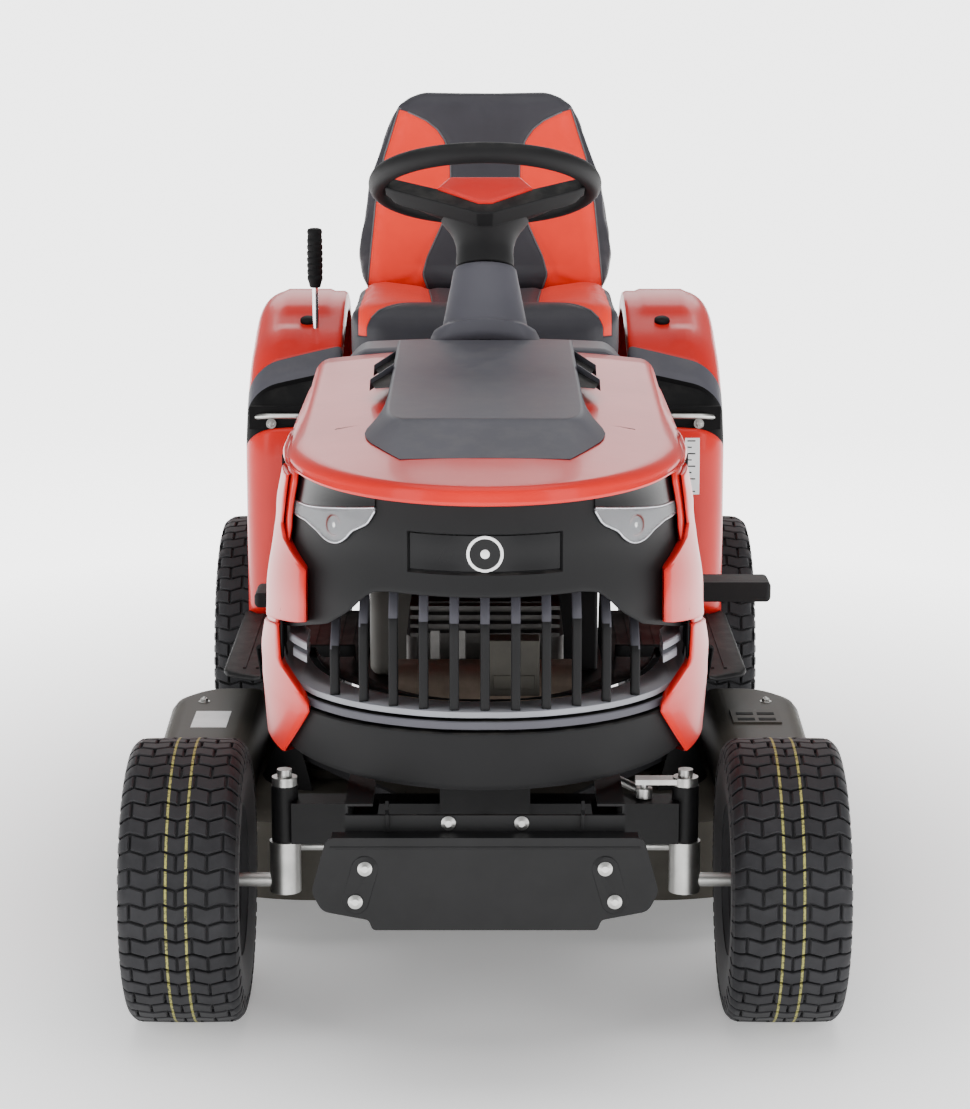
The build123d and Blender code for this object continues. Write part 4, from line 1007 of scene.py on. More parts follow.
def steeringSpokes():
    # the dished body that carries the rim: a wide shallow V seen from the front
    bm = bmesh.new()
    place = columnPlace(0)
    rows = []
    for t in steps(-1, 1, 44):
        x = t * 0.151
        fade = abs(t)
        sink = -0.043 * (1 - fade ** 1.5) - 0.004
        half = 0.016 + 0.012 * (1 - fade) ** 1.3
        thick = 0.010 + 0.008 * (1 - fade)
        middle = 0.012 * (1 - fade)
        section = []
        for k in range(16):
            a = 2 * pi * k / 16
            power = 0.55
            u = half * (abs(cos(a)) ** power) * (1 if cos(a) >= 0 else -1)
            w = thick * (abs(sin(a)) ** power) * (1 if sin(a) >= 0 else -1)
            section.append(place @ Vector((x, u + middle, sink + w)))
        rows.append(section)
    addGrid(bm, rows, closeAcross=True, cap=True)
    # the skirt under it that covers the top of the column
    outline = [(0.0415, -0.130), (0.0435, -0.1285), (0.0440, -0.122), (0.0430, -0.108), (0.0440, -0.097),
               (0.0480, -0.084),
               (0.0545, -0.073), (0.0620, -0.064), (0.0665, -0.058), (0.0630, -0.053), (0.045, -0.050)]
    addTurned(bm, outline, columnPlace(0), 56, closed=False)
    return tidy(bm, outward=False, merge=0.00001)


def ribbing():
    # short ribs under the flare
    bm = bmesh.new()
    for index in range(14):
        place = (columnPlace(-0.066) @ Matrix.Rotation(2 * pi * index / 14, 4, "Z")
                 @ Matrix.Translation((0.0535, 0, 0)))
        addBlock(bm, (-0.0035, -0.0060, -0.004), (0.0030, 0.0060, 0.003), place=place)
    return tidy(bm, outward=False)


def hubPad():
    # six-sided painted cap on a black base that follows the spokes
    bm = bmesh.new()
    place = frameAt(wheel["padOrigin"], wheel["padNormal"])
    outline = wheel["pad"]

    def ring(scale, height):
        return [place @ Vector((x * scale, y * scale, height)) for x, y in outline]

    levels = [(1.0, -0.012), (1.0, 0.004), (0.985, 0.0062), (0.93, 0.0078), (0.45, 0.0090)]
    addGrid(bm, [ring(s, h) for s, h in levels], closeAcross=True, cap=True)
    return tidy(bm)


def hubBase():
    bm = bmesh.new()
    place = frameAt(wheel["padOrigin"], wheel["padNormal"])
    outline = [(-0.152, 0.036), (-0.139, 0.036), (-0.073, 0.007), (-0.056, 0.038), (0.056, 0.038),
               (0.073, 0.007),
               (0.139, 0.036), (0.152, 0.036), (0.152, 0.014), (0.139, 0.004), (0.060, -0.036),
               (0.012, -0.060),
               (-0.012, -0.060), (-0.060, -0.036), (-0.139, 0.004), (-0.152, 0.014)]
    rows = []
    for scale, height in ((0.90, -0.026), (0.98, -0.012), (1.0, 0.0), (0.985, 0.0025)):
        rows.append([place @ Vector((x * scale, y * scale, height)) for x, y in outline])
    addGrid(bm, rows, closeAcross=True, cap=True)
    return tidy(bm)


ringPiece = newObject("steeringRing", steeringRing(), paint["black"], "steering_column", 40)
newObject("steeringSpokes", steeringSpokes(), paint["black"], "steering_column", 40)
# the ribs take the darker black: painted shade under the flare
newObject("steeringRibs", ribbing(), paint["blackDeepAndShade"], "steering_column", 30)
base = rounded(newObject("steeringHubBase", hubBase(), paint["black"], "steering_column",
                         30), 0.002, 2, 25)
pad = rounded(newObject("steeringHubPad", hubPad(), paint["red"], "steering_column", 30),
              0.0018, 3, 25)
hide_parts("steering_wheel")
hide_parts("steering_hub_cap")
print("steering wheel made")

cowl = {
    "neck": [(0.0840, -0.266), (0.0835, -0.250), (0.0820, -0.240), (0.0780, -0.232), (0.0700, -0.227),
             (0.0655, -0.2245),
             (0.0640, -0.221), (0.0625, -0.214), (0.0560, -0.180), (0.0490, -0.143), (0.0475, -0.1355),
             (0.0450, -0.1325),
             (0.0405, -0.1325), (0.0400, -0.140)],
    "front": -0.0145,
}


def columnNeck():
    # tapered column cover with a shoulder; its front is flattened behind the scoop
    bm = bmesh.new()
    place = columnPlace(0)
    rows = []
    for index in range(64):
        turn = 2 * pi * index / 64
        column = []
        for radius, height in cowl["neck"]:
            point = place @ Vector((radius * cos(turn), -radius * sin(turn), height))
            middle = place @ Vector((0, 0, height))
            room = middle.y - cowl["front"]
            reach = middle.y - point.y
            if reach > room * 0.75:
                point.y = middle.y - room * (0.75 + 0.25 * (1 - 2.718 ** (-(reach / room - 0.75) / 0.25)))
            column.append(point)
        rows.append(column)
    rows.append(rows[0])
    addGrid(bm, rows)
    return tidy(bm, outward=False)


neck = newObject("columnNeck", columnNeck(), paint["grey"], "chassis", 40)
thicken(neck, 0.0025)


def dashCowl():
    # the panel in front of the operator: domed lid, rolled edges and a flat rear face
    bm = bmesh.new()
    rows = []
    front, back = -0.0135, 0.1115
    for t in steps(-1, 1, 48):
        x = 0.2045 * t
        edge = 0.2045 - abs(x)
        drop = 0.020 * (1 - min(1, edge / 0.030)) ** 2
        swell = 0.0
        top = 0.8410 - drop + swell - 0.006 * (x / 0.2) ** 2
        low = 0.540
        column = [(front + 0.001, low), (front, low + 0.15), (front, top - 0.012),
                  (front + 0.0035, top - 0.0035), (front + 0.012, top)]
        column += [(y, top) for y in steps(0.004, 0.088, 6)]
        column += [(back - 0.008, top - 0.0025), (back - 0.002, top - 0.010), (back, top - 0.022)]
        column += [(back, z) for z in steps(top - 0.05, low + 0.02, 7)]
        column += [(back - 0.002, low + 0.006), (back - 0.010, low)]
        rows.append([Vector((x, y, z)) for y, z in column])
    addGrid(bm, rows, cap=True)
    narrow = [[Vector((x, y, z)) for x, y in ((-0.1645, back - 0.004), (-0.1645, front + 0.002),
                                              (0.1645, front + 0.002), (0.1645, back - 0.004))]
              for z in (0.402, 0.541)]
    addGrid(bm, narrow, closeAcross=True, cap=True)
    return tidy(bm, outward=False, merge=0.00001)


cowlPiece = rounded(newObject("dashCowl", dashCowl(), paint["grey"], "chassis", 40),
                    0.003, 3, 50)
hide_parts("dash_tower")


def dashDetails():
    # instrument hood, slots, screws and an hour-meter window facing the operator
    bm = bmesh.new()
    back = 0.1112
    # the slots are blocks in the darker black: painted shade in the openings
    for index in range(6):
        z = 0.600 + index * 0.018
        addBlock(bm, (-0.085, back - 0.001, z), (0.085, back + 0.0022, z + 0.009))
    for x in (-0.185, 0.185):
        for z in (0.570, 0.790):
            addBolt(bm, (x, back, z), (0, 1, 0), 0.0042, 0.0026, material=1)
    addBlock(bm, (-0.036, back - 0.002, 0.735), (0.036, back + 0.0030, 0.775), material=2)
    for x in (-0.080, 0.080):
        addTurned(bm, [(0.026, 0), (0.026, 0.0025), (0.0235, 0.0040), (0.016, 0.0040)],
                  frameAt((x, back, 0.770), (0, 1, 0)), 36,
                  0, closed=False)
    for k in range(9):
        angle = radians(-60 + 15 * k)
        spot = Vector((0.080 + 0.033 * sin(angle), back + 0.0006, 0.770 + 0.033 * cos(angle)))
        addBlock(bm, (-0.0007, -0.0008, -0.0025), (0.0007, 0.0008, 0.0025), 3,
                 Matrix.Translation(spot) @ Matrix.Rotation(angle, 4, "Y"))
    return tidy(bm, outward=False, merge=0.00001)


rounded(newObject("dashDetails", dashDetails(),
                  [paint["blackDeepAndShade"], paint["zinc"], paint["gloss"], paint["label"]], "chassis",
                  30), 0.0006, 1, 40)
print("dash made")


# seat

seat = {
    "backOrigin": Vector((0, 0.745, 0.838)), "backTilt": radians(12),
    # the red side fields: inner and outer edge against height up the back, and across the cushion
    "backInner": [(-0.02, 0.097), (0.0, 0.0975), (0.033, 0.1085), (0.063, 0.1005), (0.126, 0.0725),
                  (0.160, 0.0640),
                  (0.200, 0.0600), (0.229, 0.0605), (0.267, 0.0700), (0.286, 0.0830), (0.303, 0.1040),
                  (0.316, 0.1330), (0.323, 0.150)],
    "backOuter": [(-0.02, 0.205), (0.010, 0.205), (0.157, 0.191), (0.238, 0.176), (0.323, 0.150)],
    "wingInner": [(0.340, 0.200), (0.352, 0.183), (0.372, 0.155), (0.400, 0.128), (0.440, 0.098),
                  (0.470, 0.0865), (0.56, 0.090), (0.75, 0.100)],
    # how much wider or narrower the back is drawn at a height, to round its shoulders
    "outline": [(-0.03, 1.12), (0.0, 1.10), (0.030, 1.08), (0.065, 1.06), (0.100, 1.02), (0.140, 1.0),
                (0.310, 1.0), (0.330, 0.985),
                (0.342, 0.935), (0.3535, 0.865), (0.362, 0.780), (0.370, 0.74)],
    "wingOuter": 0.2045, "travel": 0.006, "voxel": 0.006,
}


def puffed(node, name, shrink):
    # the plain solid, remeshed finely and blown up a little as cloth
    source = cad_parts[node]
    mesh = source.data.copy()
    piece = bpy.data.objects.new(name, mesh)
    bpy.context.scene.collection.objects.link(piece)
    middle = sum((v.co for v in mesh.vertices), Vector()) / len(mesh.vertices)
    for vert in mesh.vertices:
        vert.co = middle + (vert.co - middle) * shrink
    remesh = piece.modifiers.new("even", "REMESH")
    remesh.mode, remesh.voxel_size = "VOXEL", seat["voxel"]
    bake(piece)
    before = [v.co.copy() for v in piece.data.vertices]
    cloth = piece.modifiers.new("cloth", "CLOTH")
    cloth.settings.use_pressure = True
    cloth.settings.uniform_pressure_force = 4
    cloth.settings.effector_weights.gravity = 0
    cloth.settings.tension_stiffness = cloth.settings.compression_stiffness = 40
    cloth.settings.bending_stiffness = 2
    cloth.point_cache.frame_start, cloth.point_cache.frame_end = 1, 20
    for step in range(1, 21):
        bpy.context.scene.frame_set(step)
    bake(piece)
    bpy.context.scene.frame_set(1)
    for vert, start in zip(piece.data.vertices, before):
        move = vert.co - start
        if move.length > seat["travel"]:
            vert.co = start + move.normalized() * seat["travel"]
    return piece


def bake(piece):
    graph = bpy.context.evaluated_depsgraph_get()
    made = bpy.data.meshes.new_from_object(piece.evaluated_get(graph), depsgraph=graph)
    piece.modifiers.clear()
    piece.data = made


def backSpot(point):
    # how far across and how far up the back a point is
    away = point - seat["backOrigin"]
    lean, rise = sin(seat["backTilt"]), cos(seat["backTilt"])
    return away.x, away.y * lean + away.z * rise, away.y * rise - away.z * lean


def backField(point):
    # signed distance to the edge of the red field, positive inside
    x, up, depth = backSpot(point)
    if depth > 0.040:
        return -0.01
    return min(abs(x) - between(seat["backInner"], up), between(seat["backOuter"], up) - abs(x), (0.325 - up))


def wingField(point):
    x, y = abs(point.x), point.y
    if point.z < 0.800:
        return -0.01
    return min((x - between(seat["wingInner"], y)) * 0.8, seat["wingOuter"] - x, point.z - 0.812)


def seatFinish():
    g = Graph("seatVinyl", {"Specular IOR Level": 0.32, "Sheen Weight": 0.05, "Sheen Roughness": 0.5})
    field = g.spread("panel")
    mask = field.ramp(-0.0004, 0.0004)
    seam = 1 - abs(field).ramp(0.0, 0.0022)
    edge = abs(field - 0.005)
    y, z = g.parts(g.place())[1:]
    dashes = g.remainder(z * 260 + y * 120) < 0.62
    stitch = (1 - edge.ramp(0.0004, 0.0008)) * dashes
    pebble = g.cells(1500, feature="SMOOTH_F1")
    crease = g.speckle(160, 6, 0.6)
    cloud = g.speckle(9, 3)
    black = g.blend(cloud.ramp(0.3, 0.7), (0.022, 0.021, 0.027), (0.031, 0.030, 0.037))
    red = g.blend(cloud.ramp(0.3, 0.7), (0.90, 0.026, 0.006), (0.80, 0.020, 0.004))
    base = g.blend(mask, black, red)
    # the seam line is darkened: the dark joint between the panels, and painted shade in its crease
    base = g.blend(seam * 0.6, base, (0.02, 0.012, 0.012))
    base = g.blend(stitch * 0.55, base, g.blend(mask, (0.12, 0.12, 0.13), (0.60, 0.06, 0.03)))
    g.bump(pebble * 0.25 + crease * 0.5 - seam * 4 + stitch * 0.8, 0.45, 0.0006)
    return g.end(Base_Color=base, Roughness=0.46 + crease * 0.16)


seatVinyl = seatFinish()


def paintPanel(piece, field):
    layer = piece.data.attributes.new("panel", "FLOAT", "POINT")
    layer.data.foreach_set("value", [field(v.co) for v in piece.data.vertices])
    piece.data.materials.clear()
    piece.data.materials.append(seatVinyl)
    piece.data.shade_smooth()


def settle(piece, shape):
    # pulls the finished cushion into its moulded form, point by point
    for vert in piece.data.vertices:
        vert.co = shape(vert.co)


def backForm(point):
    # bolsters stand forward at the sides, the middle is hollowed, flutes run across the middle
    x, up, depth = backSpot(point)
    front = min(1.0, max(0.0, (0.055 - depth) / 0.04))
    hollow = (0.016 * (1 - min(1, abs(x) / 0.17) ** 2) * min(1, max(0, up / 0.05))
              * min(1, max(0, (0.345 - up) / 0.08)))
    valley = 0.004 * max(0, 1 - abs(backField(point)) / 0.010) * front
    inward = Vector((0, cos(seat["backTilt"]), -sin(seat["backTilt"])))
    place = point + inward * (hollow * front + valley)
    place.x *= eased(seat["outline"], up)
    return place


def cushionForm(point):
    # dished across, rolled down at the front, welted at the sides
    x, y, z = point
    top = min(1.0, max(0.0, (z - 0.800) / 0.045))
    dish = 0.013 * (1 - min(1, abs(x) / 0.17) ** 2) * min(1, max(0, (y - 0.36) / 0.12))
    roll = 0.020 * max(0, (0.400 - y) / 0.07) ** 2
    valley = 0.004 * max(0, 1 - abs(wingField(point)) / 0.010)
    return Vector((x, y, z - (dish + roll + valley) * top))


seatPieces = []
for node, name, field, form, fill in (("seat_back", "seatBack", backField, backForm, 0.85),
                                      ("seat_cushion", "seatCushion", wingField, cushionForm, 0.8)):
    piece = puffed(node, name, 0.985)
    settle(piece, form)
    smoothed(piece, 1)
    bake(piece)
    paintPanel(piece, field)
    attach(piece, "seat")
    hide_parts(node)
    seatPieces.append(piece)
    print(name, "made")


def seams():
    # welts sewn along the edges of the red fields and round the cushions
    bm = bmesh.new()
    back, cushion = seatPieces
    for side in (-1, 1):
        ups = steps(0.0, 0.323, 44)
        for table in (seat["backInner"], seat["backOuter"]):
            line = []
            for up in ups:
                x = side * between(table, up)
                spot = seat["backOrigin"] + Vector((x, up * sin(seat["backTilt"]) - 0.05,
                                                    up * cos(seat["backTilt"])))
                hit, place, normal, _ = back.ray_cast(spot, Vector((0, 1, 0)))
                if hit:
                    line.append(place + normal * 0.0002)
            addTube(bm, line, 0.0016, 6)
        line = []
        for y in steps(0.352, 0.655, 36):
            hit, place, normal, _ = cushion.ray_cast(
                Vector((side * between(seat["wingInner"], y), y, 0.95)), Vector((0, 0, -1)))
            if hit:
                line.append(place + normal * 0.0002)
        addTube(bm, line, 0.0016, 6)
    return tidy(bm, outward=False, merge=0.000001)


newObject("seatSeams", seams(), paint["thread"], "seat", 60)
print("seams made")


straps = {"x": 0.125, "half": 0.020, "thick": 0.0028,
          "path": [(0.700, 0.800), (0.772, 0.802), (0.790, 0.850), (0.812, 0.960)]}


def backStraps():
    # two bent flat bars that carry the back on the cushion's pan
    bm = bmesh.new()
    line = bentPath([(0, y, z) for y, z in straps["path"]], 0.022, 6)
    rows = []
    for index, spot in enumerate(line):
        ahead = (line[min(index + 1, len(line) - 1)] - line[max(index - 1, 0)]).normalized()
        out = Vector((0, -ahead.z, ahead.y)) * straps["thick"]
        rows.append([spot + Vector((straps["x"] + x, 0, 0)) + out * n
                     for x, n in ((-straps["half"], -1), (straps["half"], -1), (straps["half"], 1),
                                  (-straps["half"], 1))])
    addGrid(bm, rows, closeAcross=True, cap=True)
    mirrored(bm)
    return tidy(bm, outward=False)


rounded(newObject("seatBackStraps", backStraps(), paint["steelBlack"], "seat", 35), 0.0008)
print("straps made")


# wheels

wheels = {
    "front": {"x": 0.397, "y": -0.570, "radius": 0.1905, "width": 0.157, "rim": 0.076},
    "rear": {"x": 0.349, "y": 0.660, "radius": 0.2285, "width": 0.216, "rim": 0.102},
    "pitch": 0.023, "cell": 0.040, "zigzag": 0.0062, "groove": 0.0036, "depth": 0.0062,
}


def wheelPlace(size, side):
    def place(x, radius, angle):
        return Vector((side * (size["x"] + x), size["y"] + radius * sin(angle),
                       size["radius"] + radius * cos(angle)))
    return place


def crown(size, x):
    # how far the tread falls away from its middle
    t = abs(x) / (size["width"] / 2 * 0.965)
    return 0.0016 * t * t + (0.011 * ((t - 0.80) / 0.20) ** 2 if t > 0.80 else 0)


def zigzag(x):
    t = (x / wheels["cell"]) % 1.0
    return wheels["zigzag"] * (1 - abs(2 * t - 1)) - wheels["zigzag"] / 2


def treadBlocks(bm, size, place):
    # rows of bricks between parallel zigzag grooves, each row shifted by half a brick
    radius, groove, cell = size["radius"], wheels["groove"], wheels["cell"]
    rowCount = 2 * round(pi * radius / wheels["pitch"])
    limit = size["width"] / 2 * 0.965
    for row in range(rowCount):
        start = 2 * pi * row / rowCount
        width = 2 * pi / rowCount
        shift = cell / 2 if row % 2 else 0
        first = int(-limit / cell) - 2
        for index in range(first, -first + 1):
            low, high = index * cell + shift + groove / 2, (index + 1) * cell + shift - groove / 2
            low, high = max(low, -limit), min(high, limit)
            if high - low < 0.007:
                continue
            middle = (round((low + high) / 2 / (cell / 2))) * cell / 2
            spots = (sorted({low, (low + middle) / 2, middle, (middle + high) / 2, high})
                     if low < middle < high else steps(low, high, 4))
            loops = []
            for inset, fall in ((0.0, wheels["depth"] + 0.001), (0.0, 0.0012), (0.0012, 0.0)):
                line = []
                for x in spots:
                    within = min(max(x, low + inset), high - inset)
                    line.append((within, start + (zigzag(within) + groove / 2 + inset) / radius))
                for x in reversed(spots):
                    within = min(max(x, low + inset), high - inset)
                    line.append((within, start + width + (zigzag(within) - groove / 2 - inset) / radius))
                loops.append([bm.verts.new(place(x, radius - crown(size, x) - fall, angle))
                              for x, angle in line])
            for outer, inner in zip(loops, loops[1:]):
                for k in range(len(outer)):
                    bm.faces.new((outer[k], outer[(k + 1) % len(outer)], inner[(k + 1) % len(outer)],
                                  inner[k]))
            top, count = loops[-1], len(spots)
            for k in range(count - 1):
                bm.faces.new((top[k], top[k + 1], top[2 * count - 2 - k], top[2 * count - 1 - k]))


def tyre(kind, side, body):
    size = wheels[kind]
    half, radius, rim = size["width"] / 2, size["radius"], size["rim"]
    wallHeight = radius - rim
    place = wheelPlace(size, side)
    bm = bmesh.new()
    wall = [(0.60, rim + 0.002), (0.72, rim + 0.003), (0.765, rim + 0.009), (0.80, rim + 0.010),
            (0.83, rim + 0.016),
            (0.885, rim + wallHeight * 0.22), (0.905, rim + wallHeight * 0.225),
            (0.950, rim + wallHeight * 0.38),
            (0.985, rim + wallHeight * 0.52), (0.994, rim + wallHeight * 0.60),
            (0.985, rim + wallHeight * 0.68),
            (0.992, rim + wallHeight * 0.70), (0.985, rim + wallHeight * 0.72),
            (0.972, rim + wallHeight * 0.82),
            (0.960, rim + wallHeight * 0.87)]
    floor = [(x / half, radius - crown(size, x) - wheels["depth"]) for x in steps(half * 0.955, 0, 8)]
    outline = [(x * half, r) for x, r in wall + floor]
    outline += [(-x, r) for x, r in reversed(outline[:-1])]
    count = 120
    rows = [[place(x, r, 2 * pi * k / count) for x, r in outline] for k in range(count)]
    addGrid(bm, rows + [rows[0]])
    plain = len(bm.verts)
    treadBlocks(bm, size, place)
    # short ribs where the tread runs into the sidewall
    ribs = 2 * round(pi * radius / wheels["pitch"])
    for end in (-1, 1):
        for k in range(0, ribs):
            start, width = 2 * pi * (k + 0.22) / ribs, 2 * pi * 0.56 / ribs
            corners = []
            for x, r in ((half * 0.962, radius - crown(size, half * 0.962) - 0.001),
                         (half * 0.993, radius - wallHeight * 0.20),
                         (half * 0.998, radius - wallHeight * (0.30 if k % 2 else 0.26))):
                corners.append([place(end * x, r, start), place(end * x, r, start + width)])
            under = [[place(end * (x - 0.004), r, start), place(end * (x - 0.004), r, start + width)]
                     for x, r in ((half * 0.965, radius - 0.014),
                                  (half * 0.985, radius - wallHeight * 0.20),
                                  (half * 0.985, radius - wallHeight * 0.29))]
            for low, high in zip(corners, corners[1:]):
                a, b = [bm.verts.new(p) for p in low], [bm.verts.new(p) for p in high]
                bm.faces.new((a[0], a[1], b[1], b[0]))
            for k2 in (0, 1):
                line = [c[k2] for c in corners] + [u[k2] for u in reversed(under)]
                bm.faces.new([bm.verts.new(p) for p in line])
    bmesh.ops.recalc_face_normals(bm, faces=bm.faces)
    bm.verts.ensure_lookup_table()
    piece = newObject("tyre" + kind.capitalize() + ("Left" if side > 0 else "Right"), bm,
                      paint["treadRubber"], body, 38)
    # what the tread's painted lines need: place across, and whether it is tread at all
    acrossLayer = piece.data.attributes.new("across", "FLOAT", "POINT")
    treadLayer = piece.data.attributes.new("tread", "FLOAT", "POINT")
    acrossLayer.data.foreach_set("value", [abs(v.co.x) - size["x"] for v in piece.data.vertices])
    treadLayer.data.foreach_set("value", [
        1.0 if index >= plain and hypot(v.co.y - size["y"], v.co.z - radius) > radius
                                          - 0.0035 and kind == "front" else 0.0
        for index, v in enumerate(piece.data.vertices)])
    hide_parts("tyre_" + kind + ("_left" if side > 0 else "_right"))


def rim(kind, side, body):
    # drop-centre rim with a rolled flange, a dished disc, hub, bolts and valve
    size = wheels[kind]
    half, r = size["width"] / 2, size["rim"]
    place = wheelPlace(size, side)
    bm = bmesh.new()
    barrel = [(0.66, r + 0.0075), (0.685, r + 0.0080), (0.695, r + 0.0070), (0.690, r + 0.0020),
              (0.655, r - 0.0005),
              (0.640, r - 0.0020), (0.52, r - 0.0030), (0.46, r - 0.014), (-0.20, r - 0.014),
              (-0.30, r - 0.003),
              (-0.640, r - 0.0020), (-0.690, r + 0.0020), (-0.685, r + 0.0080), (-0.66, r + 0.0075),
              (-0.645, r + 0.0005),
              (-0.30, r - 0.0005), (-0.20, r - 0.011), (0.46, r - 0.011), (0.52, r - 0.0005),
              (0.645, r + 0.0005)]
    count = 80
    rows = [[place(x * half, radius, 2 * pi * k / count) for x, radius in barrel] for k in range(count)]
    addGrid(bm, rows + [rows[0]], closeAcross=True)
    hub = 0.022 if kind == "front" else 0.030
    disc = [(0.30 * half, r - 0.0145), (0.27 * half, r - 0.020), (0.20 * half, r - 0.026),
            (0.17 * half, r * 0.62), (0.19 * half, r * 0.52),
            (0.26 * half, r * 0.46), (0.28 * half, r * 0.42), (0.28 * half, hub + 0.004),
            (0.30 * half, hub), (0.46 * half, hub - 0.001),
            (0.47 * half, hub - 0.003), (0.47 * half, hub * 0.55), (0.455 * half, hub * 0.50),
            (0.455 * half, 0.0005)]
    for line, back in ((disc, 0.0), (disc[:8], 0.004)):
        rows = [[place(x - back, radius, 2 * pi * k / count) for x, radius in line] for k in range(count)]
        addGrid(bm, rows + [rows[0]])
    for k in range(5):
        angle = 2 * pi * (k + 0.5) / 5
        addBolt(bm, place(0.28 * half, r * 0.44 if kind == "rear" else r * 0.46, angle), (side, 0, 0),
                0.0055, 0.007, material=1)
    valve = place(0.30 * half, r - 0.022, 0.6)
    addRod(bm, valve, valve + Vector((side * 0.030, 0, 0)), 0.0028, 12, 2)
    addRod(bm, valve + Vector((side * 0.028, 0, 0)), valve + Vector((side * 0.038, 0, 0)), 0.0036, 12, 2)
    bmesh.ops.recalc_face_normals(bm, faces=bm.faces)
    piece = newObject("rim" + kind.capitalize() + ("Left" if side > 0 else "Right"), bm,
                      [paint["rim"], paint["zinc"], paint["blackDeepAndShade"]],
                      body, 35)
    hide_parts("rim_" + kind + ("_left" if side > 0 else "_right"))


for kind in ("front", "rear"):
    for side, word in ((1, "left"), (-1, "right")):
        tyre(kind, side, "wheel_" + kind + "_" + word)
        rim(kind, side, "wheel_" + kind + "_" + word)
print("wheels made")


# rear fenders

fenderForm = {
    "outline": [(0.3805, 0.347), (0.3815, 0.500), (0.3865, 0.650), (0.430, 0.716), (0.520, 0.780),
                (0.700, 0.8365), (0.800, 0.8425),
                (0.888, 0.800), (0.919, 0.690), (0.9055, 0.420)],
    "inner": 0.2385, "outer": 0.3945, "roll": 0.052, "arch": 0.266, "centre": (0.660, 0.2285),
    "apronTop": 0.652, "bandTop": 0.742, "shear": 0.060,
}


def outlinePath():
    path = bentPath([(0, y, z) for y, z in fenderForm["outline"]], 0.075, 8)
    total, marks = 0.0, [0.0]
    for a, b in zip(path, path[1:]):
        total += (b - a).length
        marks.append(total)
    return path, marks


def fenderSweep(side):
    path, marks = outlinePath()

    def at(s):
        s = min(max(s, 0), marks[-1])
        for k in range(len(marks) - 1):
            if s <= marks[k + 1]:
                t = (s - marks[k]) / max(1e-9, marks[k + 1] - marks[k])
                return path[k].lerp(path[k + 1], t)
        return path[-1]

    def lengthAt(height):
        for k in range(len(path) - 1):
            if path[k].z <= height <= path[k + 1].z:
                return marks[k] + (marks[k + 1] - marks[k]) * (height - path[k].z) / (path[k + 1].z
                                                                                      - path[k].z)
        return 0.0

    low, high = lengthAt(fenderForm["apronTop"]), lengthAt(fenderForm["bandTop"])
    stations = steps(0, low - 0.012, 14) + [low - 0.008, low - 0.005, low - 0.0025, low - 0.001,
                                            low - 0.0002, low + 0.0002, low + 0.002, low + 0.004]
    stations += steps(low + 0.010, high - 0.052, 4) + steps(high - 0.048, high - 0.004, 6) + [high - 0.0015,
            high - 0.0003, high + 0.0003, high + 0.0015, high + 0.004]
    stations += steps(high + 0.010, marks[-1], 60)
    inner, outer, roll = fenderForm["inner"], fenderForm["outer"], fenderForm["roll"]
    cy, cz = fenderForm["centre"]
    bm = bmesh.new()
    rows = []
    for s in stations:
        row = []
        profile = [(inner, 0.030), (inner, 0.010), (inner + 0.002, 0.003), (inner + 0.007, 0.0)]
        profile += [(inner + 0.007 + (outer - roll - inner - 0.007) * t, 0.0) for t in steps(0, 1, 12)[1:]]
        profile += [(outer - roll + roll * sin(a), roll * (1 - cos(a)) * 1.15)
                    for a in steps(0, pi / 2, 9)[1:]]
        for x, depth in profile:
            window = max(0.0, 1 - abs(s - high) / 0.16)
            window = window * window * (3 - 2 * window)
            reach = (outer - x) / (outer - inner)
            spot = at(s + fenderForm["shear"] * reach * window)
            ahead = (at(s + 0.004) - at(s - 0.004)).normalized()
            normal = Vector((0, -ahead.z, ahead.y))
            lift = 0.0
            if s < low:
                lift = 0.004 - 0.004 * max(0, 1 - (low - s) / 0.005) ** 2
            elif s < high - 0.0004:
                if s > high - 0.050:
                    t = (s - high + 0.050) / 0.048
                    lift = 0.0035 * min(1, t * 6) if t < 0.9 else 0.0035
                else:
                    lift = -0.006
            else:
                lift = -0.0015 if s < high + 0.003 else 0.0
                # a raised pad along the top and a smaller one in front of it
                top = min(1, max(0, (x - 0.262) / 0.006)) * min(1, max(0, (0.352 - x) / 0.006))
                lift += 0.0035 * top * min(1, max(0, (s - high - 0.185) / 0.006)) * min(1,
                        max(0, (high + 0.360 - s) / 0.006))
                small = min(1, max(0, (x - 0.315) / 0.004)) * min(1, max(0, (0.352 - x) / 0.004))
                lift += 0.0025 * small * min(1, max(0, (s - high - 0.045) / 0.004)) * min(1,
                        max(0, (high + 0.125 - s) / 0.004))
            drop = depth
            inward = Vector((0, cy - spot.y, cz - spot.z)).normalized()
            point = spot + normal * lift * (1 - min(1, depth / 0.06)) + (normal * -1 * 0.4 + inward
                                                                         * 0.6).normalized() * drop
            row.append(Vector((side * x, point.y, point.z)))
        edge = row[-1]
        flat = Vector((0, edge.y - cy, edge.z - cz))
        archEdge = flat.normalized() * fenderForm["arch"]
        for t in steps(0, 1, 7)[1:]:
            span = flat.lerp(archEdge, t) if flat.length > fenderForm["arch"] else flat
            row.append(Vector((side * (outer - 0.004 * t * t), cy + span.y, cz + span.z)))
        end = row[-1]
        row.append(end + Vector((-side * 0.010, 0, 0.001)))
        rows.append(row)
    addGrid(bm, rows)
    bm.faces.ensure_lookup_table()
    width = len(rows[0]) - 1
    # the top of the band is the grey trim; the recessed slot below it takes the darker black: painted shade
    for index, face in enumerate(bm.faces):
        s = (stations[index // width] + stations[index // width + 1]) / 2
        if low < s < high:
            face.material_index = 1 if s > high - 0.050 else 2
    bmesh.ops.recalc_face_normals(bm, faces=bm.faces)
    if sum(f.normal.z * f.calc_area() for f in bm.faces) < 0:
        bmesh.ops.reverse_faces(bm, faces=bm.faces)
    return bm, at, low, high


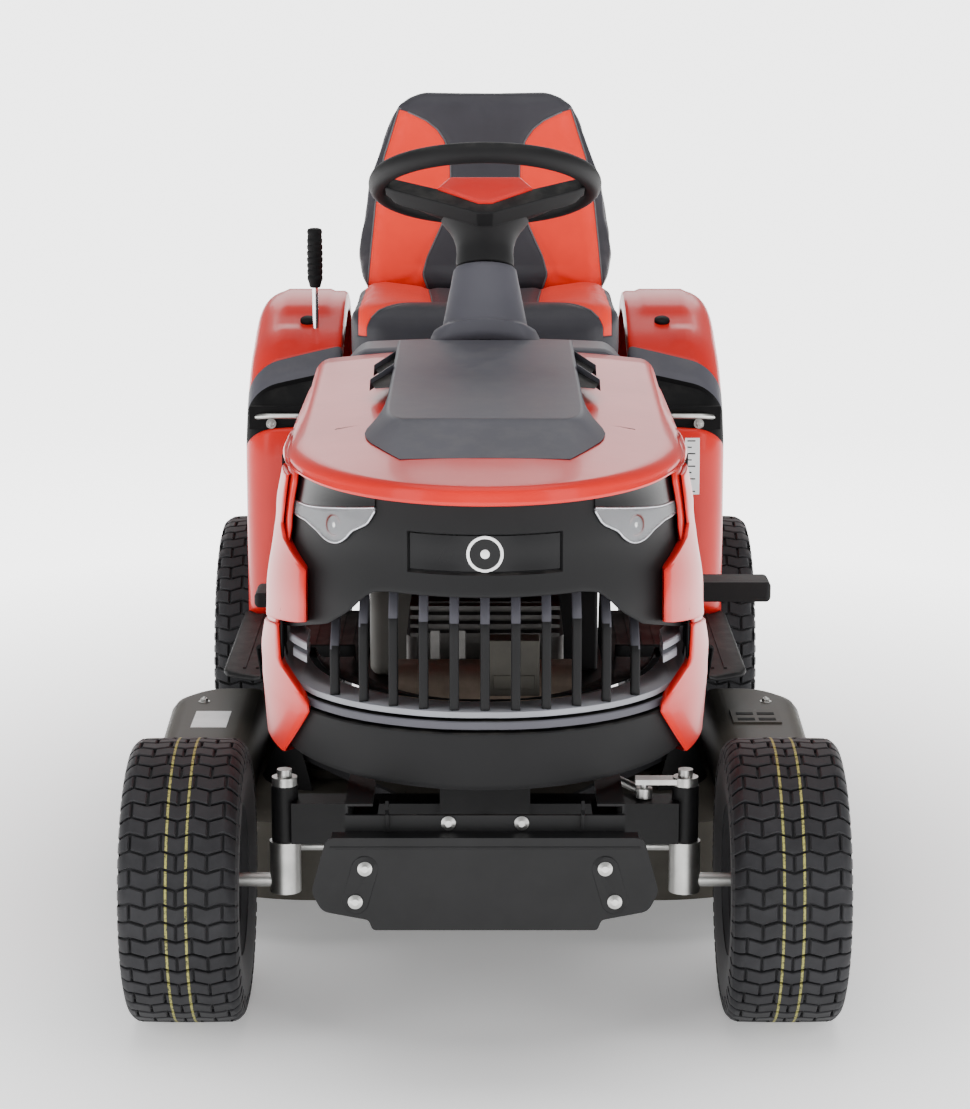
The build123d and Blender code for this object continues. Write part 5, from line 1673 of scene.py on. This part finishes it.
for side, word in ((1, "left"), (-1, "right")):
    bm, at, low, high = fenderSweep(side)
    piece = newObject("fender" + word.capitalize(), bm, [paint["red"], paint["grey"], paint["blackDeepAndShade"]],
                      "chassis", 42)
    thicken(piece, 0.003)
    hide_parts("fender_" + word)


def fenderDetails():
    # latch in the slot below the band, a stop peg, and a strip of plain ticks on the tractor's left
    bm = bmesh.new()
    for side in (-1, 1):
        spot = at(low + 0.022)
        base = Vector((side * 0.330, spot.y - 0.004, spot.z))
        addTube(bm, bentPath([base + Vector((side * -0.030, 0.006, 0)),
                              base + Vector((side * -0.026, -0.004, 0.003)),
                              base + Vector((side * 0.030, -0.004, 0.003)),
                              base + Vector((side * 0.044, 0.008, 0.0))], 0.008, 4),
                0.0045, 10, 1)
        addBolt(bm, base + Vector((side * 0.020, -0.001, -0.010)), (0, -1, 0.3), 0.0055, 0.006, material=1)
        # a dark plate in the slot behind the latch: painted shade
        addBlock(bm, (min(side * 0.290, side * 0.386), spot.y + 0.001, spot.z - 0.020),
                 (max(side * 0.290, side * 0.386), spot.y + 0.006, spot.z + 0.018), 0)
        top = at(high + 0.150)
        addTurned(bm, [(0.013, 0), (0.013, 0.0045), (0.011, 0.006), (0, 0.0065)],
                  frameAt(Vector((side * 0.300, top.y, top.z + 0.0005)), (0, -0.35, 0.93)),
                  24, 0, closed=False)
    strip = []
    for s in steps(low - 0.105, low - 0.012, 16):
        spot = at(s)
        strip.append([Vector((x, spot.y - 0.0048, spot.z)) for x in steps(0.327, 0.351, 4)])
    addGrid(bm, strip, material=2)
    for k in range(9):
        spot = at(low - 0.100 + k * 0.0104)
        length = 0.013 if k % 2 == 0 else 0.007
        addBlock(bm, (0.331, spot.y - 0.0056, spot.z - 0.0009),
                 (0.331 + length, spot.y - 0.0046, spot.z + 0.0009), 0)
    bmesh.ops.recalc_face_normals(bm, faces=bm.faces)
    return bm


fenderParts = newObject("fenderDetails", fenderDetails(),
                        [paint["blackDeepAndShade"], paint["zinc"], paint["label"]], "chassis", 35)
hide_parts("fender_trims")
print("fenders made")


# height lever, footboards, deck shoulders, and what shows behind the bars

lever = {"x": -0.286, "y": 0.580, "pivot": 0.700, "gripLow": 0.866}


def heightLever():
    bm = bmesh.new()
    x, y, low = lever["x"], lever["y"], lever["gripLow"]
    addRod(bm, (x, y, lever["pivot"]), (x, y, low + 0.010), 0.0050, 24, 1)
    addRod(bm, (x - 0.012, y, lever["pivot"]), (x + 0.012, y, lever["pivot"]), 0.0118, 28, 1, 0.001)
    outline = [(0.0050, 0.0), (0.0080, 0.0), (0.0095, 0.0025), (0.0110, 0.009)]
    for t in steps(0, 1, 6):
        h = 0.014 + t * 0.062
        outline += [(0.0130 + 0.0006 * sin(pi * t), h), (0.0130 + 0.0006 * sin(pi * t), h + 0.0052),
                    (0.0122, h + 0.0064), (0.0122, h + 0.0082)]
    outline += [(0.0125, 0.086), (0.0118, 0.089), (0.0128, 0.092), (0.0128, 0.095), (0.0112, 0.0985),
                (0.0070, 0.100), (0, 0.1002)]
    addTurned(bm, outline, frameAt((x, y, low), (0, 0, 1)), 40, 0, closed=False)
    return tidy(bm, outward=False, merge=0.00001)


leverPiece = newObject("heightLever", heightLever(), [paint["blackDeepAndShade"], paint["chrome"]], "height_lever",
                       40)
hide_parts("height_lever")

boards = {"inner": 0.191, "outer": 0.399, "toeOuter": 0.336, "top": 0.3455, "thick": 0.0075, "ribs": 9}


def footboards():
    # a toe plate that narrows forwards, a flat tread with long ribs, a rolled outer lip
    bm = bmesh.new()
    line = [(-0.158, 0.4195), (-0.120, 0.3905), (-0.085, 0.3640), (-0.068, 0.3520), (-0.054, 0.3465),
            (-0.035, 0.3455)]
    line += [(y, 0.3455) for y in steps(-0.02, 0.4145, 18)]
    rows = []
    for y, z in line:
        t = min(1, max(0, (y + 0.075) / 0.07))
        outer = boards["toeOuter"] + (boards["outer"] - boards["toeOuter"]) * t * t * (3 - 2 * t)
        row = [Vector((boards["inner"], y, z))]
        row += [Vector((boards["inner"] + (outer - 0.006 - boards["inner"]) * k, y, z))
                for k in steps(0, 1, 12)[1:]]
        row += [Vector((outer - 0.0025, y, z - 0.0010)), Vector((outer, y, z - 0.0040)),
                Vector((outer, y, z - boards["thick"]))]
        rows.append(row)
    addGrid(bm, rows)
    for index in range(boards["ribs"]):
        x = boards["inner"] + 0.020 + index * 0.0195
        addBlock(bm, (x - 0.0022, 0.000, 0.3445), (x + 0.0022, 0.395, 0.3472))
    for index in range(5):
        t = 0.12 + index * 0.19
        y, z = -0.158 + 0.104 * t, 0.4195 - 0.0735 * t
        place = frameAt((0.262, y, z), (0, 0.577, 0.817))
        addBlock(bm, (-0.055, -0.0022, -0.001), (0.055, 0.0022, 0.0022), place=place)
    mirrored(bm)
    bmesh.ops.recalc_face_normals(bm, faces=bm.faces)
    return bm


boardPiece = newObject("footboards", footboards(), paint["black"], "chassis", 40)
thicken(boardPiece, 0.004)
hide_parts("footboards")

shoulder = {"inner": 0.345, "outer": 0.4985, "front": -0.262, "rear": 0.225, "foot": 0.186, "top": 0.266,
            "roll": 0.030}


def deckShoulders():
    # the raised ends of the cutting deck, rounded in plan, with a label and two slots
    bm = bmesh.new()
    a, b, roll = shoulder["inner"], shoulder["outer"], shoulder["roll"]
    f, r = shoulder["front"], shoulder["rear"]
    plan = bentPath([(a, r, 0), (a, f, 0), (b - 0.012, f + 0.040, 0), (b, r - 0.060, 0), (b - 0.060, r, 0),
                     (a, r, 0)], 0.055, 8)[:-1]
    middle = Vector(((a + b) / 2, (f + r) / 2, 0))
    rows = []
    for inset, z in ((0.0, shoulder["foot"]), (0.002, shoulder["top"] - roll),
                     (0.006, shoulder["top"] - roll * 0.55), (0.014, shoulder["top"] - roll * 0.2),
                     (0.026, shoulder["top"] - 0.001), (0.034, shoulder["top"])):
        rows.append([Vector((p.x + (middle.x - p.x) * inset / 0.077, p.y + (middle.y - p.y) * inset / 0.25,
                             z)) for p in plan])
    addGrid(bm, rows, closeAcross=True, cap=True)
    for x, y in ((0.385, -0.150), (0.440, 0.110)):
        addBolt(bm, (x, y, shoulder["top"] - 0.0005), (0, 0, 1), 0.0060, 0.006, material=1)
    mirrored(bm)
    # plain label on the tractor's right shoulder, a slotted bracket on its left
    addBlock(bm, (-0.446, -0.052, 0.2655), (-0.392, 0.046, 0.2668), 2)
    addBlock(bm, (0.378, -0.030, 0.2655), (0.452, 0.050, 0.2690), 0)
    # the bracket's slots are thin blocks in the darker black: painted shade
    for low in (-0.020, 0.014):
        addBlock(bm, (0.386, low, 0.2688), (0.412, low + 0.014, 0.2696), 3)
        addBlock(bm, (0.418, low, 0.2688), (0.444, low + 0.014, 0.2696), 3)
    bmesh.ops.recalc_face_normals(bm, faces=bm.faces)
    return bm


newObject("deckShoulders", deckShoulders(),
          [paint["deck"], paint["zinc"], paint["label"], paint["blackDeepAndShade"]], "deck", 40)


def airBox():
    # a brown-grey air box on the engine's front and two thin brackets beside it
    bm = bmesh.new()
    addBlock(bm, (0.004, -0.806, 0.503), (0.068, -0.770, 0.574))
    addBlock(bm, (0.010, -0.8085, 0.512), (0.062, -0.8060, 0.530))
    for x in (-0.062, -0.030):
        addBlock(bm, (x - 0.006, -0.800, 0.548), (x + 0.006, -0.797, 0.586), 1)
        addBlock(bm, (x - 0.006, -0.800, 0.548), (x + 0.006, -0.780, 0.551), 1)
    bmesh.ops.recalc_face_normals(bm, faces=bm.faces)
    return bm


airPiece = newObject("airBox", airBox(), [paint["deck"], paint["cast"]], "chassis", 30)
rounded(airPiece, 0.0015)

bumper = {
    "outline": [(-0.194, 0.352), (0.194, 0.352), (0.213, 0.283), (0.200, 0.258), (0.143, 0.247),
                (0.138, 0.234),
                (-0.138, 0.234), (-0.143, 0.247), (-0.200, 0.258), (-0.213, 0.283)],
    "face": -0.915, "sheet": 0.0035, "rear": -0.8880, "bolts": [(0.147, 0.313), (0.159, 0.271)],
}


def bumperPlate():
    # folded sheet with eased corners, a pressed fold line, and an oval pad round each pair of bolts
    bm = bmesh.new()
    outline = bumper["outline"]
    turned = [Vector((x, z, 0)) for x, z in outline]
    easedLine = []
    for index, here in enumerate(turned):
        before, after = turned[index - 1], turned[(index + 1) % len(turned)]
        reach = min(0.011, (before - here).length * 0.3, (after - here).length * 0.3)
        first, last = here + (before - here).normalized() * reach, here + (after - here).normalized() * reach
        easedLine += [first * (1 - t) ** 2 + here * 2 * t * (1 - t) + last * t * t for t in steps(0, 1, 5)]
    face, sheet = bumper["face"], bumper["sheet"]
    rows = [[Vector((p.x, face + y, p.y)) for p in easedLine] for y in (0.0, sheet)]
    addGrid(bm, rows, closeAcross=True, cap=True)
    addBlock(bm, (-0.188, face + 0.001, 0.3475), (0.188, bumper["rear"], 0.3515))
    addTube(bm, [(-0.190, face + 0.0012, 0.3395), (0.190, face + 0.0012, 0.3395)], 0.0022, 10)
    for side in (-1, 1):
        addBlock(bm, (min(side * 0.160, side * 0.167), face + 0.002, 0.300),
                 (max(side * 0.160, side * 0.167), bumper["rear"], 0.350))
        (ax, az), (bx, bz) = bumper["bolts"]
        low, high = Vector((side * bx, 0, bz)), Vector((side * ax, 0, az))
        ahead = (high - low).normalized()
        across = Vector((ahead.z, 0, -ahead.x))
        ring = []
        for k in range(40):
            a = 2 * pi * k / 40
            ring.append((high if sin(a) >= 0 else low) + across * cos(a) * 0.0175 + ahead * sin(a) * 0.0175)
        wide = [Vector((p.x, face + 0.0006, p.z)) for p in ring]
        middle = (low + high) / 2
        near = [Vector((p.x + (middle.x - p.x) * 0.10, face - 0.0010, p.z + (middle.z - p.z) * 0.07))
                for p in ring]
        addGrid(bm, [wide, near], closeAcross=True, cap=True)
    return tidy(bm, outward=False, merge=0.00001)


bumperPiece = rounded(newObject("frontBumper", bumperPlate(), paint["steelBlack"], "chassis",
                                35), 0.0008)
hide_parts("front_bumper")
print("lever, boards, deck shoulders and bumper made")


# what keeps the frame's shape: finishes only

finishes = {
    "steelBlack": ["frame_rails", "front_crossmember", "chassis_plate", "axle_bracket", "hitch_plate",
                   "axle_beam",
                   "seat_bracket", "discharge_chute"],
    "zinc": ["frame_bolts", "knuckle_left", "knuckle_right", "tie_rod", "drag_link", "sector_gear",
             "pinion_shaft", "ignition_key",
             "spindle_left", "spindle_right"],
    "cast": ["engine_block", "transaxle", "crank_pulley"],
    "hot": ["muffler"],
    "black": ["engine_shroud", "battery", "seat_platform", "brake_pedal", "drive_pedal", "throttle_lever",
              "deck_covers"],
    "white": ["fuel_tank"],
    "deck": ["deck_shell"],
    "chrome": ["steering_shaft"],
    "blade": ["blade_left", "blade_right"],
    "rubber": ["drive_belt", "pto_belt"],
}
paint["blade"] = bareMetal("bladeSteel", (0.30, 0.29, 0.28), 0.35, cast=0.3)
for finish, nodes in finishes.items():
    for node in nodes:
        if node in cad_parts:
            tint(node, paint[finish])
print("finishes set")
